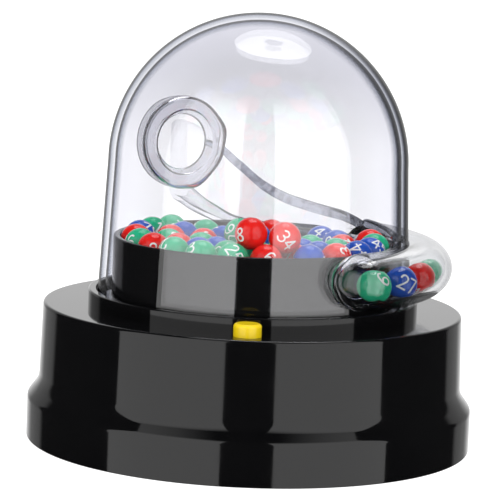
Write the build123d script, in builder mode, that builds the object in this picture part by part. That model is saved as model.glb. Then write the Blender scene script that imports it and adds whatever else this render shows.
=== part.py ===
import os
from math import acos, asin, atan, cos, degrees, floor, hypot, pi, radians, sin, sqrt, tan

from build123d import *

# A battery-driven lottery ball machine: a black base with a bowl on it, a clear
# dome over the bowl, and a clear tube round the dome that collects the balls drawn.
# Millimetres. The origin is the middle of the foot's underside, +Z is up, and the
# push button faces -Y. Angles are in degrees from +X towards +Y.

# fits
running_gap = 0.03  # a shaft in its bush, per side
press_gap = 0.02  # a piece pushed or screwed into another, per side
sliding_gap = 0.2  # a button in its hole, a lid in its seat, per side
loose_gap = 0.4  # between bodies that only pass each other
rest_gap = 0.05  # under a flange that a spring holds up

# foot and drum of the base: the deck's width round the collar, then how far the drum's
# foot, the shoulder and the foot each stand out from what is above them
deck_w = 13.0
drum_draft = 0.63
shoulder_step = 1.15
foot_step = 2.1
foot_wall_h = 12.0
shoulder_h = 2.8
drum_low_h = 4.4
deck_z = 39.57
shell_wall = 2.4
deck_hole_r = 30.0
edge_round = 0.9

# bowl and the collar that holds the dome; the seat runs from the bowl's wall to the
# collar's outside
seat_w = 6.72
collar_h = 4.02
collar_wall = 2.2
seat_h = 2.03
bowl_r = 41.4
bowl_wall = 2.0
bowl_rim_z = 59.4
bowl_edge_z = 53.5
bowl_drop = 2.0
bowl_flat_r = 12.5
bowl_floor_t = 2.0
bowl_boss_r = 3.25
bowl_boss_ring_r = 35.6

# dome
dome_gap = 0.42
dome_draft = 1.85
dome_wall = 2.05
dome_taper_h = 39.8

# balls
ball_r = 4.6
ball_gap = 0.1
ball_rest = 0.05
outer_start = 136.9
middle_start = 126.0
inner_start = 60.0
drawn_out = 1.8
drawn_z = 52.3
drawn_count = 4
drawn_gap = 1.66
drawn_front = 2.2

# exit tube, an elliptical section swept round the dome
tube_out = 3.0
tube_z = 53.2
tube_half_w = 9.2
tube_half_h = 8.1
tube_wall = 2.1
tube_front = -51.0
tube_back = 42.0

# chute: width, wall and where its round part runs straight on
chute_in = 27.7
chute_out = 37.6
chute_wall = 1.5
chute_tangent = 78.0

# entry ring
ring_x = -21.6
ring_y = 17.9
ring_z = 84.9
ring_turn = -58.1
ring_r = 13.5
ring_bore_r = 8.1
ring_mouth_r = 9.8
ring_len = 4.0
ring_hood_len = 6.1
ring_hood_t = 1.2
ring_round = 1.2

# stirrer and its drive
shaft_r = 1.5
bush_r = 2.5
bush_flange_r = 3.6
bush_flange_t = 0.5
stirrer_r = 10.8
stirrer_disc_t = 1.2
stirrer_h = 3.2
stirrer_gap = 0.3
fin_count = 3
fin_t = 2.2
stirrer_hub_r = 4.4
hub_r = 2.6
gear_module = 0.5
gear_teeth = 36
pinion_teeth = 12
gear_face = 4.0
pressure_angle = 25.0
backlash = 0.12
bracket_t = 2.0
gear_drop = 2.3
gear_clear = 0.6
hub_clear = 0.1
bracket_ear = 3.0
bracket_hook = 14.0
bracket_span = 32.0

# motor
motor_r = 12.0
motor_len = 18.0
motor_cap_t = 1.6
motor_shaft_r = 1.0
motor_shaft_out = 7.0
motor_shaft_in = 10.0
motor_nose_r = 3.0
motor_nose_h = 1.5
motor_screw_span = 16.0
lug_span = 15.0
lug_w = 2.2
lug_t = 0.6
lug_h = 2.4

# push button and switch
button_r = 3.9
button_h = 4.0
button_turn = -91.2
button_travel = 1.4
button_flange_r = 5.2
button_flange_t = 1.2
button_stem_r = 1.8
guide_wall = 1.2
guide_h = 6.0
board_w = 23.0
board_d = 9.0
board_t = 1.6
board_drop = 8.17
board_post_r = 2.0
board_shift = 2.0
switch_w = 6.4
switch_h = 2.4
switch_floor = 0.4
plunger_r = 1.4
button_spring_r = 2.5
button_spring_wire = 0.25
button_spring_turns = 3.5

# underside
plate_z = 1.0
plate_t = 2.4
plate_gap = 0.3
door_t = 1.4
door_seat = 1.8
cell_r = 7.1
cell_len = 49.0
cell_gap = 0.8
cell_lift = 0.4
nub_r = 2.6
nub_h = 1.2
tray_wall = 1.5
contact_t = 0.4
contact_w = 11.0
contact_h = 11.0
tab_w = 3.0
tab_h = 3.1
cell_spring_r = 3.2
cell_spring_wire = 0.35
cell_spring_len = 4.0
cell_spring_turns = 3

# screws: shank radius, head radius, head height
plate_screw = (1.45, 2.8, 2.0)
bowl_screw = (1.25, 2.5, 1.8)
bracket_screw = (1.0, 1.9, 1.4)
board_screw = (0.8, 1.5, 1.0)
motor_screw = (1.0, 1.9, 1.4)
plate_screw_len = 9.0
bowl_screw_len = 9.0
bracket_screw_len = 6.0
board_screw_len = 5.0
motor_screw_len = 4.0
plate_screw_ring_r = 53.5
plate_screw_sink = 4.0
plate_boss_h = 7.0

wire_r = 0.65

os.makedirs("parts", exist_ok=True)


def save(node, name):
    """Label a finished piece and write it to its own file."""
    node.part.label = name
    export_step(node.part, "parts/" + name + ".step")


def around(radius, angle, height=0.0):
    """A point at a radius and an angle round the upright axis."""
    return (radius * cos(radians(angle)), radius * sin(radians(angle)), height)


def screw(name, places, size, length, up=True):
    """Pan-head screws, one solid each, whose head seats at each place."""
    shank_r, head_r, head_h = size
    way = 1 if up else -1
    with BuildPart() as group:
        for place in places:
            with BuildSketch(Plane(place, z_dir=(0, 0, way))):
                Circle(shank_r)
            extrude(amount=length)
            with BuildSketch(Plane(place, z_dir=(0, 0, -way))):
                Circle(head_r)
            extrude(amount=head_h, taper=8)
            with BuildSketch(Plane(place, z_dir=(0, 0, -way)).offset(head_h)):
                Rectangle(head_r * 1.1, head_r * 0.26)
                Rectangle(head_r * 0.26, head_r * 1.1)
            extrude(amount=-head_h * 0.5, mode=Mode.SUBTRACT)
    save(group, name)


def coil(radius, wire, length, turns):
    """An open compression spring: a helix swept as tangent arc pairs, one pair a quarter turn."""
    step = pi / 2
    rise = length / (turns * 2 * pi)
    edges = []
    for k in range(int(turns * 4)):
        ends = []
        for angle in (k * step, (k + 1) * step):
            point = Vector(radius * cos(angle), radius * sin(angle), rise * angle)
            heading = Vector(-radius * sin(angle), radius * cos(angle), rise).normalized()
            ends.append((point, heading))
        (start, way_in), (end, way_out) = ends
        span = end - start
        both = way_in + way_out
        lean = span.dot(both)
        spread = 2 * (1 - way_in.dot(way_out))
        reach = (sqrt(lean**2 + spread * span.dot(span)) - lean) / spread
        near = start + way_in * reach
        far = end - way_out * reach
        middle = (near + far) * 0.5
        edges.append(Edge.make_tangent_arc(start, way_in, middle))
        edges.append(Edge.make_tangent_arc(middle, (far - near).normalized(), end))
    print("spring wire", wire, "gap between turns", round(length / turns - 2 * wire, 2))
    path = Wire(edges)
    with BuildPart() as spring:
        with BuildSketch(Plane(path @ 0, z_dir=path % 0)):
            Circle(wire)
        sweep(path=path)
    return spring.part


def lead(name, points):
    """An insulated wire on straight runs joined by arcs as large as the runs allow."""
    route = [Vector(*point) for point in points]
    radii = []
    for before, corner, after in zip(route, route[1:], route[2:]):
        turn = (corner - before).get_angle(after - corner)
        shorter = min((corner - before).length, (after - corner).length)
        radii.append(0.45 * shorter / tan(radians(turn / 2)))
    print(name, "bend radii", [round(radius, 1) for radius in radii])
    with BuildPart() as wire:
        with BuildLine() as path:
            FilletPolyline(*route, radius=radii)
        with BuildSketch(Plane(path.line @ 0, z_dir=path.line % 0)):
            Circle(wire_r)
        sweep(path=path.line)
    save(wire, name)


def gear_outline(teeth, shift):
    """Points of a spur gear with involute flanks, its first tooth turned by shift degrees."""
    pitch_r = gear_module * teeth / 2
    base_r = pitch_r * cos(radians(pressure_angle))
    tip_r = pitch_r + gear_module
    root_r = pitch_r - 1.25 * gear_module
    roll = tan(radians(pressure_angle)) - radians(pressure_angle)
    half = (pi * gear_module / 2 - backlash) / (2 * pitch_r) + roll
    flank = []
    for k in range(5):
        r = max(base_r, root_r) + (tip_r - max(base_r, root_r)) * k / 4
        bend = sqrt((r / base_r) ** 2 - 1)
        flank.append((r, half - (bend - atan(bend))))
    points = []
    for tooth in range(teeth):
        middle = 2 * pi * tooth / teeth + radians(shift)
        points.append((root_r * cos(middle - half), root_r * sin(middle - half)))
        points += [(r * cos(middle - a), r * sin(middle - a)) for r, a in flank]
        points += [(r * cos(middle + a), r * sin(middle + a)) for r, a in reversed(flank)]
        points.append((root_r * cos(middle + half), root_r * sin(middle + half)))
    return points


# rings round the bowl, from the inside out
collar_r = bowl_r + seat_w
dome_low_r = collar_r - collar_wall - dome_gap
dome_top_r = dome_low_r - dome_draft
tube_ring_r = dome_low_r + tube_out
drawn_ring_r = tube_ring_r + drawn_out

# base housing: foot, shoulder, drum and deck in one shell
drum_top_r = collar_r + deck_w
drum_low_r = drum_top_r + drum_draft
shoulder_r = drum_low_r + shoulder_step
foot_r = shoulder_r + foot_step
deck_under = deck_z - shell_wall
shoulder_z = foot_wall_h + shoulder_h
drum_low_z = foot_wall_h + drum_low_h
inner_drum_r = drum_low_r - shell_wall
inner_top_r = drum_top_r - shell_wall
inner_foot_r = foot_r - shell_wall
plate_top = plate_z + plate_t
plate_boss_top = plate_z + plate_boss_h
plate_boss_r = plate_screw[1] + 1.7
post_r = plate_screw[0] + 2.1
button_ring_r = inner_top_r - button_flange_r - sliding_gap
button_place = around(button_ring_r, button_turn)
button_hole_r = button_r + sliding_gap
guide_in = button_flange_r + sliding_gap
board_top = deck_under - board_drop
board_post_x = guide_in + guide_wall + board_post_r + 0.2
board_posts = [(button_place[0] + side * board_post_x, button_place[1]) for side in (-1, 1)]
plate_screws = [around(plate_screw_ring_r, 45 + 90 * k, plate_z + plate_screw_sink) for k in range(4)]
bowl_screws = [around(bowl_boss_ring_r, 90 * k, deck_under) for k in range(4)]

with BuildPart() as base_housing:
    with BuildSketch(Plane.XZ):
        with BuildLine():
            Polyline(
                (deck_hole_r, deck_z),
                (drum_top_r, deck_z),
                (drum_low_r, drum_low_z),
                (shoulder_r, shoulder_z),
                (foot_r, foot_wall_h),
                (foot_r, 0),
                (inner_foot_r, 0),
                (inner_foot_r, foot_wall_h - shell_wall * 0.4),
                (inner_drum_r, shoulder_z),
                (inner_top_r, deck_under),
                (deck_hole_r, deck_under),
                close=True,
            )
        make_face()
    revolve(axis=Axis.Z)
    top_edge = base_housing.edges().filter_by(GeomType.CIRCLE)
    fillet([e for e in top_edge if abs(e.radius - drum_top_r) < 0.01], edge_round)
    fillet([e for e in base_housing.edges().filter_by(GeomType.CIRCLE)
            if abs(e.radius - foot_r) < 0.01 and e.center().Z > 1], edge_round * 0.6)
    fillet([e for e in base_housing.edges().filter_by(GeomType.CIRCLE)
            if abs(e.radius - drum_low_r) < 0.01], edge_round)
    with BuildSketch(Plane.XY.offset(plate_boss_top)):
        with Locations(*[(x, y) for x, y, z in plate_screws]):
            Circle(post_r)
    extrude(amount=deck_under - plate_boss_top)
    with BuildSketch(Plane.XY.offset(deck_under)):
        with Locations(button_place[:2]):
            Circle(guide_in + guide_wall)
    extrude(amount=-guide_h)
    with BuildSketch(Plane.XY.offset(board_top)):
        with Locations(*board_posts):
            Circle(board_post_r)
    extrude(amount=deck_under - board_top)
    with BuildSketch(Plane.XY.offset(deck_under)):
        with Locations(button_place[:2]):
            Circle(guide_in)
    extrude(amount=-guide_h, mode=Mode.SUBTRACT)
    with BuildSketch(Plane.XY.offset(deck_under)):
        with Locations(button_place[:2]):
            Circle(button_hole_r)
        with Locations(*[(x, y) for x, y, z in bowl_screws]):
            Circle(bowl_screw[0] + 0.3)
    extrude(amount=shell_wall, mode=Mode.SUBTRACT)
    with BuildSketch(Plane.XY.offset(plate_boss_top)):
        with Locations(*[(x, y) for x, y, z in plate_screws]):
            Circle(plate_screw[0])
    extrude(amount=10, mode=Mode.SUBTRACT)
    with BuildSketch(Plane.XY.offset(board_top)):
        with Locations(*board_posts):
            Circle(board_screw[0])
    extrude(amount=5, mode=Mode.SUBTRACT)
save(base_housing, "base_housing")

# chute: upright U sections, first round the upright axis and then straight on
# through the dome's wall. Each row is a station, the two walls' places, the
# floor's height and the tops of the inner and outer walls.
chute_way = (sin(radians(chute_tangent)), -cos(radians(chute_tangent)), 0)
chute_side = around(1, chute_tangent)
chute_arc = [
    (138, chute_in + 4.5, chute_out + 2.4, 69.5, 74.0, 84.0),
    (130, chute_in + 4.3, chute_out + 2.4, 67.5, 71.3, 90.0),
    (122, chute_in + 3.3, chute_out + 2.4, 64.4, 67.8, 89.6),
    (114, chute_in + 1.7, chute_out + 1.8, 62.0, 65.2, 86.8),
    (106, chute_in + 0.6, chute_out, 60.2, 63.0, 82.4),
    (97, chute_in, chute_out, 58.8, 61.8, 77.4),
    (88, chute_in, chute_out, 57.8, 61.2, 72.6),
    (chute_tangent, chute_in, chute_out, 57.0, 60.6, 69.2),
]
chute_run = [
    (6, 56.2, 60.2, 67.4),
    (12, 54.6, 59.8, 66.0),
    (18, 52.4, 59.4, 64.8),
    (24, 50.8, 59.0, 63.6),
    (30, 49.8, 58.6, 62.2),
    (36, 49.2, 58.4, 60.4),
]


def chute_section(plane, inner, outer, floor_z, inner_top, outer_top):
    """The U section, with its floor corners cut at 45 degrees, on an upright plane."""
    cut = 1.6
    low = floor_z - chute_wall
    with BuildSketch(plane) as sketch:
        with BuildLine():
            Polyline(
                (inner - chute_wall + cut, low),
                (outer + chute_wall - cut, low),
                (outer + chute_wall, low + cut),
                (outer + chute_wall, outer_top),
                (outer, outer_top),
                (outer, floor_z + cut),
                (outer - cut, floor_z),
                (inner + cut, floor_z),
                (inner, floor_z + cut),
                (inner, inner_top),
                (inner - chute_wall, inner_top),
                (inner - chute_wall, low + cut),
                close=True,
            )
        make_face()
    return sketch.sketch


def chute_plane(side):
    """The upright plane along the chute's straight part, at a distance from the axis."""
    return Plane(
        (chute_side[0] * side, chute_side[1] * side, 0),
        x_dir=chute_way,
        z_dir=(-chute_side[0], -chute_side[1], 0),
    )


# bowl insert: dome seat, bowl wall, sloping floor, bearing boss, and the trench
# in the floor that the chute's low end lies in
bowl_in_r = bowl_r - bowl_wall
collar_top = deck_z + collar_h
seat_z = deck_z + seat_h
collar_in = collar_r - collar_wall
bowl_floor_z = bowl_edge_z - bowl_drop
floor_under = bowl_floor_z - bowl_floor_t
gear_top = floor_under - gear_drop - gear_clear
gear_z = gear_top - gear_face
boss_z = gear_top + gear_clear
bracket_top = gear_z - gear_clear
bracket_z = bracket_top - bracket_t
axle_gap = gear_module * (gear_teeth + pinion_teeth) / 2
bracket_posts = [(-bracket_span / 2, axle_gap), (bracket_span / 2, axle_gap), (0.0, -bracket_hook)]
trench_wall = 2.0
bowl_boss_top = bowl_edge_z - bowl_floor_t + 0.3
chute_low = chute_in - chute_wall - loose_gap
chute_high = chute_out + chute_wall + loose_gap
chute_stations = [(0, chute_arc[-1][3])] + [(row[0], row[1]) for row in chute_run]
trench_floor = [(length, floor_z - chute_wall - loose_gap) for length, floor_z in chute_stations]
trench_low = trench_floor[-1][1] - trench_wall
rim_bevel = bowl_wall * 0.3
slope = atan(bowl_drop / (bowl_in_r - bowl_flat_r))

with BuildPart() as bowl_insert:
    with BuildSketch(chute_plane(chute_low - trench_wall)):
        with BuildLine():
            Polyline((7, trench_low), (36, trench_low), (36, bowl_edge_z - 0.4), (7, bowl_edge_z - 0.4), close=True)
        make_face()
    extrude(amount=-(chute_high - chute_low + 2 * trench_wall))
    with BuildSketch(Plane.XY.offset(trench_low - 1)):
        Circle(bowl_r + 20)
        Circle(bowl_r - 0.5, mode=Mode.SUBTRACT)
    extrude(amount=20, mode=Mode.SUBTRACT)
    with BuildSketch(Plane.XZ):
        with BuildLine():
            Polyline(
                (bowl_in_r, deck_z),
                (collar_r, deck_z),
                (collar_r, collar_top),
                (collar_in, collar_top),
                (collar_in, seat_z),
                (bowl_r, seat_z),
                (bowl_r, bowl_rim_z - rim_bevel),
                (bowl_r - rim_bevel, bowl_rim_z),
                (bowl_in_r + rim_bevel, bowl_rim_z),
                (bowl_in_r, bowl_rim_z - rim_bevel),
                (bowl_in_r, bowl_edge_z),
                (bowl_flat_r, bowl_floor_z),
                (bush_r, bowl_floor_z),
                (bush_r, boss_z),
                (bush_r + 2, boss_z),
                (bush_r + 2, floor_under),
                (bowl_flat_r, floor_under),
                (bowl_in_r, bowl_edge_z - bowl_floor_t),
                close=True,
            )
        make_face()
    revolve(axis=Axis.Z)
    rim = bowl_insert.edges().filter_by(GeomType.CIRCLE)
    fillet([e for e in rim if abs(e.center().Z - collar_top) < 0.01], collar_wall * 0.2)
    with BuildSketch(Plane.XY.offset(deck_z)):
        with Locations(*[(x, y) for x, y, z in bowl_screws]):
            Circle(bowl_boss_r)
    extrude(amount=bowl_boss_top - deck_z)
    with BuildSketch(Plane.XY.offset(bracket_top)):
        with Locations(*bracket_posts):
            Circle(bracket_ear - 0.2)
    extrude(amount=floor_under + 0.5 - bracket_top)
    with BuildSketch(chute_plane(chute_low)):
        with BuildLine():
            Polyline(*trench_floor, (44, trench_floor[-1][1]), (44, bowl_rim_z + 5), (0, bowl_rim_z + 5), close=True)
        make_face()
    extrude(amount=-(chute_high - chute_low), mode=Mode.SUBTRACT)
    with BuildSketch(Plane.XY.offset(deck_z)):
        with Locations(*[(x, y) for x, y, z in bowl_screws]):
            Circle(bowl_screw[0] + press_gap)
    extrude(amount=bowl_screw_len - shell_wall + 0.6, mode=Mode.SUBTRACT)
    with BuildSketch(Plane.XY.offset(bracket_top)):
        with Locations(*bracket_posts):
            Circle(bracket_screw[0] + press_gap)
    extrude(amount=bracket_screw_len - bracket_t + 0.6, mode=Mode.SUBTRACT)
save(bowl_insert, "bowl_insert")

screw("bowl_screws", bowl_screws, bowl_screw, bowl_screw_len)

# bearing bush, its flange on the bowl's floor
flange_top = bowl_floor_z + bush_flange_t
with BuildPart() as shaft_bush:
    with BuildSketch(Plane.XZ):
        with BuildLine():
            Polyline(
                (shaft_r + running_gap, boss_z),
                (bush_r - press_gap, boss_z),
                (bush_r - press_gap, bowl_floor_z),
                (bush_flange_r, bowl_floor_z),
                (bush_flange_r, flange_top),
                (shaft_r + running_gap, flange_top),
                close=True,
            )
        make_face()
    revolve(axis=Axis.Z)
save(shaft_bush, "shaft_bush")

# stirrer: shaft, gear and finned disc turn together
stirrer_z = flange_top + stirrer_gap
stirrer_top = stirrer_z + stirrer_h
shaft_top = stirrer_top - 0.8
with BuildPart() as stirrer_shaft:
    with BuildSketch(Plane.XY.offset(bracket_z + 0.2)):
        Circle(shaft_r)
    extrude(amount=shaft_top - bracket_z - 0.2)
save(stirrer_shaft, "stirrer_shaft")

with BuildPart() as drive_gear:
    with BuildSketch(Plane.XY.offset(gear_z)):
        with BuildLine():
            Polyline(*gear_outline(gear_teeth, 90), close=True)
        make_face()
    extrude(amount=gear_face)
    with BuildSketch(Plane.XY.offset(bracket_top + hub_clear)):
        Circle(hub_r)
    extrude(amount=boss_z - bracket_top - 2 * hub_clear)
    with BuildSketch(Plane.XY.offset(bracket_top)):
        Circle(shaft_r + press_gap)
    extrude(amount=boss_z - bracket_top, mode=Mode.SUBTRACT)
save(drive_gear, "drive_gear")

with BuildPart() as stirrer_paddle:
    with BuildSketch(Plane.XY.offset(stirrer_z)):
        Circle(stirrer_r)
    extrude(amount=stirrer_disc_t)
    with BuildSketch(Plane.XY.offset(stirrer_z)):
        Circle(stirrer_hub_r)
        with PolarLocations(stirrer_r / 2, fin_count):
            Rectangle(stirrer_r - 1, fin_t)
    extrude(amount=stirrer_h)
    with BuildSketch(Plane.XY.offset(stirrer_z)):
        Circle(shaft_r + press_gap)
    extrude(amount=shaft_top - stirrer_z, mode=Mode.SUBTRACT)
save(stirrer_paddle, "stirrer_paddle")

# motor on its bracket, hung from the bowl's underside
motor_top = bracket_z
motor_low = motor_top - motor_len
motor_screws = [(side * motor_screw_span / 2, axle_gap, bracket_top) for side in (-1, 1)]
with BuildPart() as motor_bracket:
    with BuildSketch(Plane.XY.offset(bracket_z)):
        with Locations(*bracket_posts):
            Circle(bracket_ear)
        with Locations((0, axle_gap)):
            Circle(motor_r)
        make_hull()
        Circle(shaft_r + running_gap, mode=Mode.SUBTRACT)
        with Locations((0, axle_gap)):
            Circle(motor_nose_r + sliding_gap, mode=Mode.SUBTRACT)
        with Locations(*bracket_posts):
            Circle(bracket_screw[0] + press_gap * 5, mode=Mode.SUBTRACT)
        with Locations(*[(x, y) for x, y, z in motor_screws]):
            Circle(motor_screw[0] + press_gap * 5, mode=Mode.SUBTRACT)
    extrude(amount=bracket_t)
save(motor_bracket, "motor_bracket")

screw("bracket_screws", [(x, y, bracket_z) for x, y in bracket_posts], bracket_screw, bracket_screw_len)
screw("motor_screws", motor_screws, motor_screw, motor_screw_len, up=False)

with BuildPart() as motor_can:
    with BuildSketch(Plane.XY.offset(motor_low)):
        with Locations((0, axle_gap)):
            Circle(motor_r)
    extrude(amount=motor_len)
    fillet(motor_can.edges().filter_by(GeomType.CIRCLE).sort_by(Axis.Z)[:1], 1.0)
    with BuildSketch(Plane.XY.offset(motor_top)):
        with Locations((0, axle_gap)):
            Circle(motor_nose_r)
    extrude(amount=motor_nose_h)
    with BuildSketch(Plane.XY.offset(motor_low)):
        with Locations((-lug_span / 2, axle_gap), (lug_span / 2, axle_gap)):
            Rectangle(lug_t, lug_w)
    extrude(amount=-lug_h)
    with BuildSketch(Plane.XY.offset(motor_top - motor_shaft_in - 0.4)):
        with Locations((0, axle_gap)):
            Circle(motor_shaft_r + running_gap)
    extrude(amount=motor_shaft_in + motor_nose_h + 0.4, mode=Mode.SUBTRACT)
    with BuildSketch(Plane.XY.offset(motor_top - motor_screw_len + bracket_t - 0.4)):
        with Locations(*[(x, y) for x, y, z in motor_screws]):
            Circle(motor_screw[0] + press_gap)
    extrude(amount=motor_screw_len, mode=Mode.SUBTRACT)
save(motor_can, "motor_can")

with BuildPart() as motor_shaft:
    with BuildSketch(Plane.XY.offset(motor_top - motor_shaft_in)):
        with Locations((0, axle_gap)):
            Circle(motor_shaft_r)
    extrude(amount=motor_shaft_in + motor_shaft_out)
save(motor_shaft, "motor_shaft")

pinion_turn = 270 + 180 / pinion_teeth
with BuildPart() as motor_pinion:
    with BuildSketch(Plane((0, axle_gap, gear_z))):
        with BuildLine():
            Polyline(*gear_outline(pinion_teeth, pinion_turn), close=True)
        make_face()
    extrude(amount=gear_face)
    with BuildSketch(Plane.XY.offset(gear_z)):
        with Locations((0, axle_gap)):
            Circle(motor_shaft_r + press_gap)
    extrude(amount=gear_face, mode=Mode.SUBTRACT)
save(motor_pinion, "motor_pinion")

# push button, its spring, and the switch on its board
flange_z = deck_under - rest_gap
spring_top = flange_z - button_flange_t
switch_top = board_top + switch_h
stem_low = switch_top + sliding_gap + button_travel
plunger_low = board_top + switch_floor + sliding_gap + button_travel
bx, by = button_place[:2]
with BuildPart() as push_button:
    with BuildSketch(Plane.XY.offset(spring_top)):
        with Locations((bx, by)):
            Circle(button_flange_r)
    extrude(amount=button_flange_t)
    with BuildSketch(Plane.XY.offset(stem_low)):
        with Locations((bx, by)):
            Circle(button_stem_r)
    extrude(amount=spring_top - stem_low)
    with BuildSketch(Plane.XY.offset(flange_z)):
        with Locations((bx, by)):
            Circle(button_r)
    extrude(amount=deck_z + button_h - flange_z)
    fillet(push_button.edges().filter_by(GeomType.CIRCLE).sort_by(Axis.Z)[-1:], button_r * 0.2)
save(push_button, "push_button")

with BuildPart() as switch_plunger:
    with BuildSketch(Plane.XY.offset(plunger_low)):
        with Locations((bx, by)):
            Circle(plunger_r)
    extrude(amount=stem_low - plunger_low)
save(switch_plunger, "switch_plunger")

spring_room = spring_top - switch_top - 2 * button_spring_wire
wound = coil(button_spring_r, button_spring_wire, spring_room, button_spring_turns)
with BuildPart() as button_spring:
    add(wound.moved(Location((bx, by, switch_top + button_spring_wire))))
save(button_spring, "button_spring")

with BuildPart() as switch_body:
    with BuildSketch(Plane.XY.offset(board_top)):
        with Locations((bx, by)):
            Rectangle(switch_w, switch_w)
    extrude(amount=switch_h)
    with BuildSketch(Plane.XY.offset(board_top + switch_floor)):
        with Locations((bx, by)):
            Circle(plunger_r + sliding_gap)
    extrude(amount=switch_h, mode=Mode.SUBTRACT)
save(switch_body, "switch_body")

board_low = board_top - board_t
with BuildPart() as switch_board:
    with BuildSketch(Plane.XY.offset(board_low)):
        with Locations((bx, by + board_shift)):
            Rectangle(board_w, board_d)
        with Locations(*board_posts):
            Circle(board_screw[0] + press_gap * 5, mode=Mode.SUBTRACT)
    extrude(amount=board_t)
save(switch_board, "switch_board")

screw("board_screws", [(x, y, board_low) for x, y in board_posts], board_screw, board_screw_len)

# base plate with its screw bosses and the battery tray
cell_x = (cell_len + nub_h + cell_spring_len) / 2
tray_in_x = cell_x + contact_t
cell_y = cell_r + cell_gap / 2
tray_in_y = cell_y + cell_r + cell_gap / 2
cell_z = plate_z + door_t + cell_lift + cell_r
tray_roof = cell_z + cell_r + cell_lift
tray_top = tray_roof + tray_wall
tab_top = tray_top + tab_h
contact_low = cell_z - contact_h / 2
slot_x = tray_in_x - (contact_t + loose_gap) / 2
plate_r = inner_foot_r - plate_gap
with BuildPart() as base_plate:
    with BuildSketch(Plane.XY.offset(plate_z)):
        Circle(plate_r)
    extrude(amount=plate_t)
    with BuildSketch(Plane.XY.offset(plate_z)):
        with Locations(*[(x, y) for x, y, z in plate_screws]):
            Circle(plate_boss_r)
    extrude(amount=plate_boss_h)
    with BuildSketch(Plane.XY.offset(plate_z)):
        Rectangle(2 * (tray_in_x + tray_wall), 2 * (tray_in_y + tray_wall))
    extrude(amount=tray_top - plate_z)
    with BuildSketch(Plane.XY.offset(plate_z)):
        Rectangle(2 * tray_in_x, 2 * tray_in_y)
    extrude(amount=tray_roof - plate_z, mode=Mode.SUBTRACT)
    with BuildSketch(Plane.XY.offset(plate_z)):
        Rectangle(2 * (tray_in_x + door_seat), 2 * (tray_in_y + door_seat))
    extrude(amount=door_t, mode=Mode.SUBTRACT)
    with BuildSketch(Plane.XY.offset(tray_roof)):
        with Locations((slot_x, cell_y), (slot_x, -cell_y)):
            Rectangle(contact_t + loose_gap, tab_w + 2 * loose_gap)
    extrude(amount=tray_wall, mode=Mode.SUBTRACT)
    with BuildSketch(Plane.XY.offset(plate_z)):
        with Locations(*[(x, y) for x, y, z in plate_screws]):
            Circle(plate_screw[1] + sliding_gap)
    extrude(amount=plate_screw_sink, mode=Mode.SUBTRACT)
    with BuildSketch(Plane.XY.offset(plate_z)):
        with Locations(*[(x, y) for x, y, z in plate_screws]):
            Circle(plate_screw[0] + press_gap * 5)
    extrude(amount=plate_boss_h, mode=Mode.SUBTRACT)
save(base_plate, "base_plate")

screw("base_screws", plate_screws, plate_screw, plate_screw_len)

with BuildPart() as battery_door:
    with BuildSketch(Plane.XY.offset(plate_z)):
        RectangleRounded(
            2 * (tray_in_x + door_seat - sliding_gap),
            2 * (tray_in_y + door_seat - sliding_gap),
            0.8,
        )
    extrude(amount=door_t)
    with BuildSketch(Plane.XY.offset(plate_z)):
        with Locations(*[(tray_in_x - 4 - 2.4 * k, 0) for k in range(5)]):
            Rectangle(1.0, 14.0)
    extrude(amount=0.5, mode=Mode.SUBTRACT)
save(battery_door, "battery_door")


def cell(name, way):
    """One AA cell along X, its button end towards way."""
    with BuildPart() as battery:
        flat_end = -way * (cell_x - cell_spring_len)
        with BuildSketch(Plane((flat_end, -way * cell_y, cell_z), z_dir=(way, 0, 0))):
            Circle(cell_r)
        extrude(amount=cell_len)
        fillet(battery.edges().filter_by(GeomType.CIRCLE), 0.5)
        with BuildSketch(Plane((flat_end + way * cell_len, -way * cell_y, cell_z), z_dir=(way, 0, 0))):
            Circle(nub_r)
        extrude(amount=nub_h)
    save(battery, name)


cell("battery_cell_front", 1)
cell("battery_cell_rear", -1)

with BuildPart() as contact_plates:
    with BuildSketch(Plane((-tray_in_x, 0, cell_z), x_dir=(0, 1, 0), z_dir=(1, 0, 0))):
        Rectangle(2 * cell_y + contact_w, contact_h)
    extrude(amount=contact_t)
    for side in (-1, 1):
        with BuildSketch(Plane((tray_in_x, side * cell_y, cell_z), x_dir=(0, 1, 0), z_dir=(-1, 0, 0))):
            Rectangle(contact_w, contact_h)
        extrude(amount=contact_t)
        with BuildSketch(Plane((tray_in_x - contact_t / 2, side * cell_y, cell_z))):
            Rectangle(contact_t, tab_w)
        extrude(amount=tab_top - cell_z)
save(contact_plates, "contact_plates")

wound = coil(cell_spring_r, cell_spring_wire, cell_spring_len - 2 * cell_spring_wire, cell_spring_turns)
with BuildPart() as contact_springs:
    add(wound.moved(Location((-cell_x + cell_spring_wire, -cell_y, cell_z), (0, 90, 0))))
    add(wound.moved(Location((cell_x - cell_spring_wire, cell_y, cell_z), (0, -90, 0))))
save(contact_springs, "contact_springs")

# wires from the cells to the switch, from the switch to the motor, and back
lug_x = lug_span / 2 + lug_t / 2
lug_z = motor_low - lug_h / 2
tab_z = tab_top - tab_h / 2 + 0.4
lead("battery_lead", [
    (tray_in_x, -cell_y, tab_z),
    (tray_in_x + 10, -cell_y, tab_z),
    (41.5, -19, 21.5),
    (31, -39.5, 21.5),
    (17, -47, 19.5),
    (4, by + 2.6, 18.5),
    (4, by + 2.6, board_low),
])
lead("motor_lead", [
    (-lug_x, axle_gap, lug_z),
    (-lug_x - 12, axle_gap, lug_z),
    (-36, 3, 21),
    (-40.5, -17, 21.5),
    (-29, -39.5, 21),
    (-16, -47, 19.5),
    (-6, by + 2.6, 18.5),
    (-6, by + 2.6, board_low),
])
lead("return_lead", [
    (lug_x, axle_gap, lug_z),
    (lug_x + 6, axle_gap, lug_z),
    (tray_in_x - contact_t - 7, cell_y, tab_z),
    (tray_in_x - contact_t, cell_y, tab_z),
])

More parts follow.
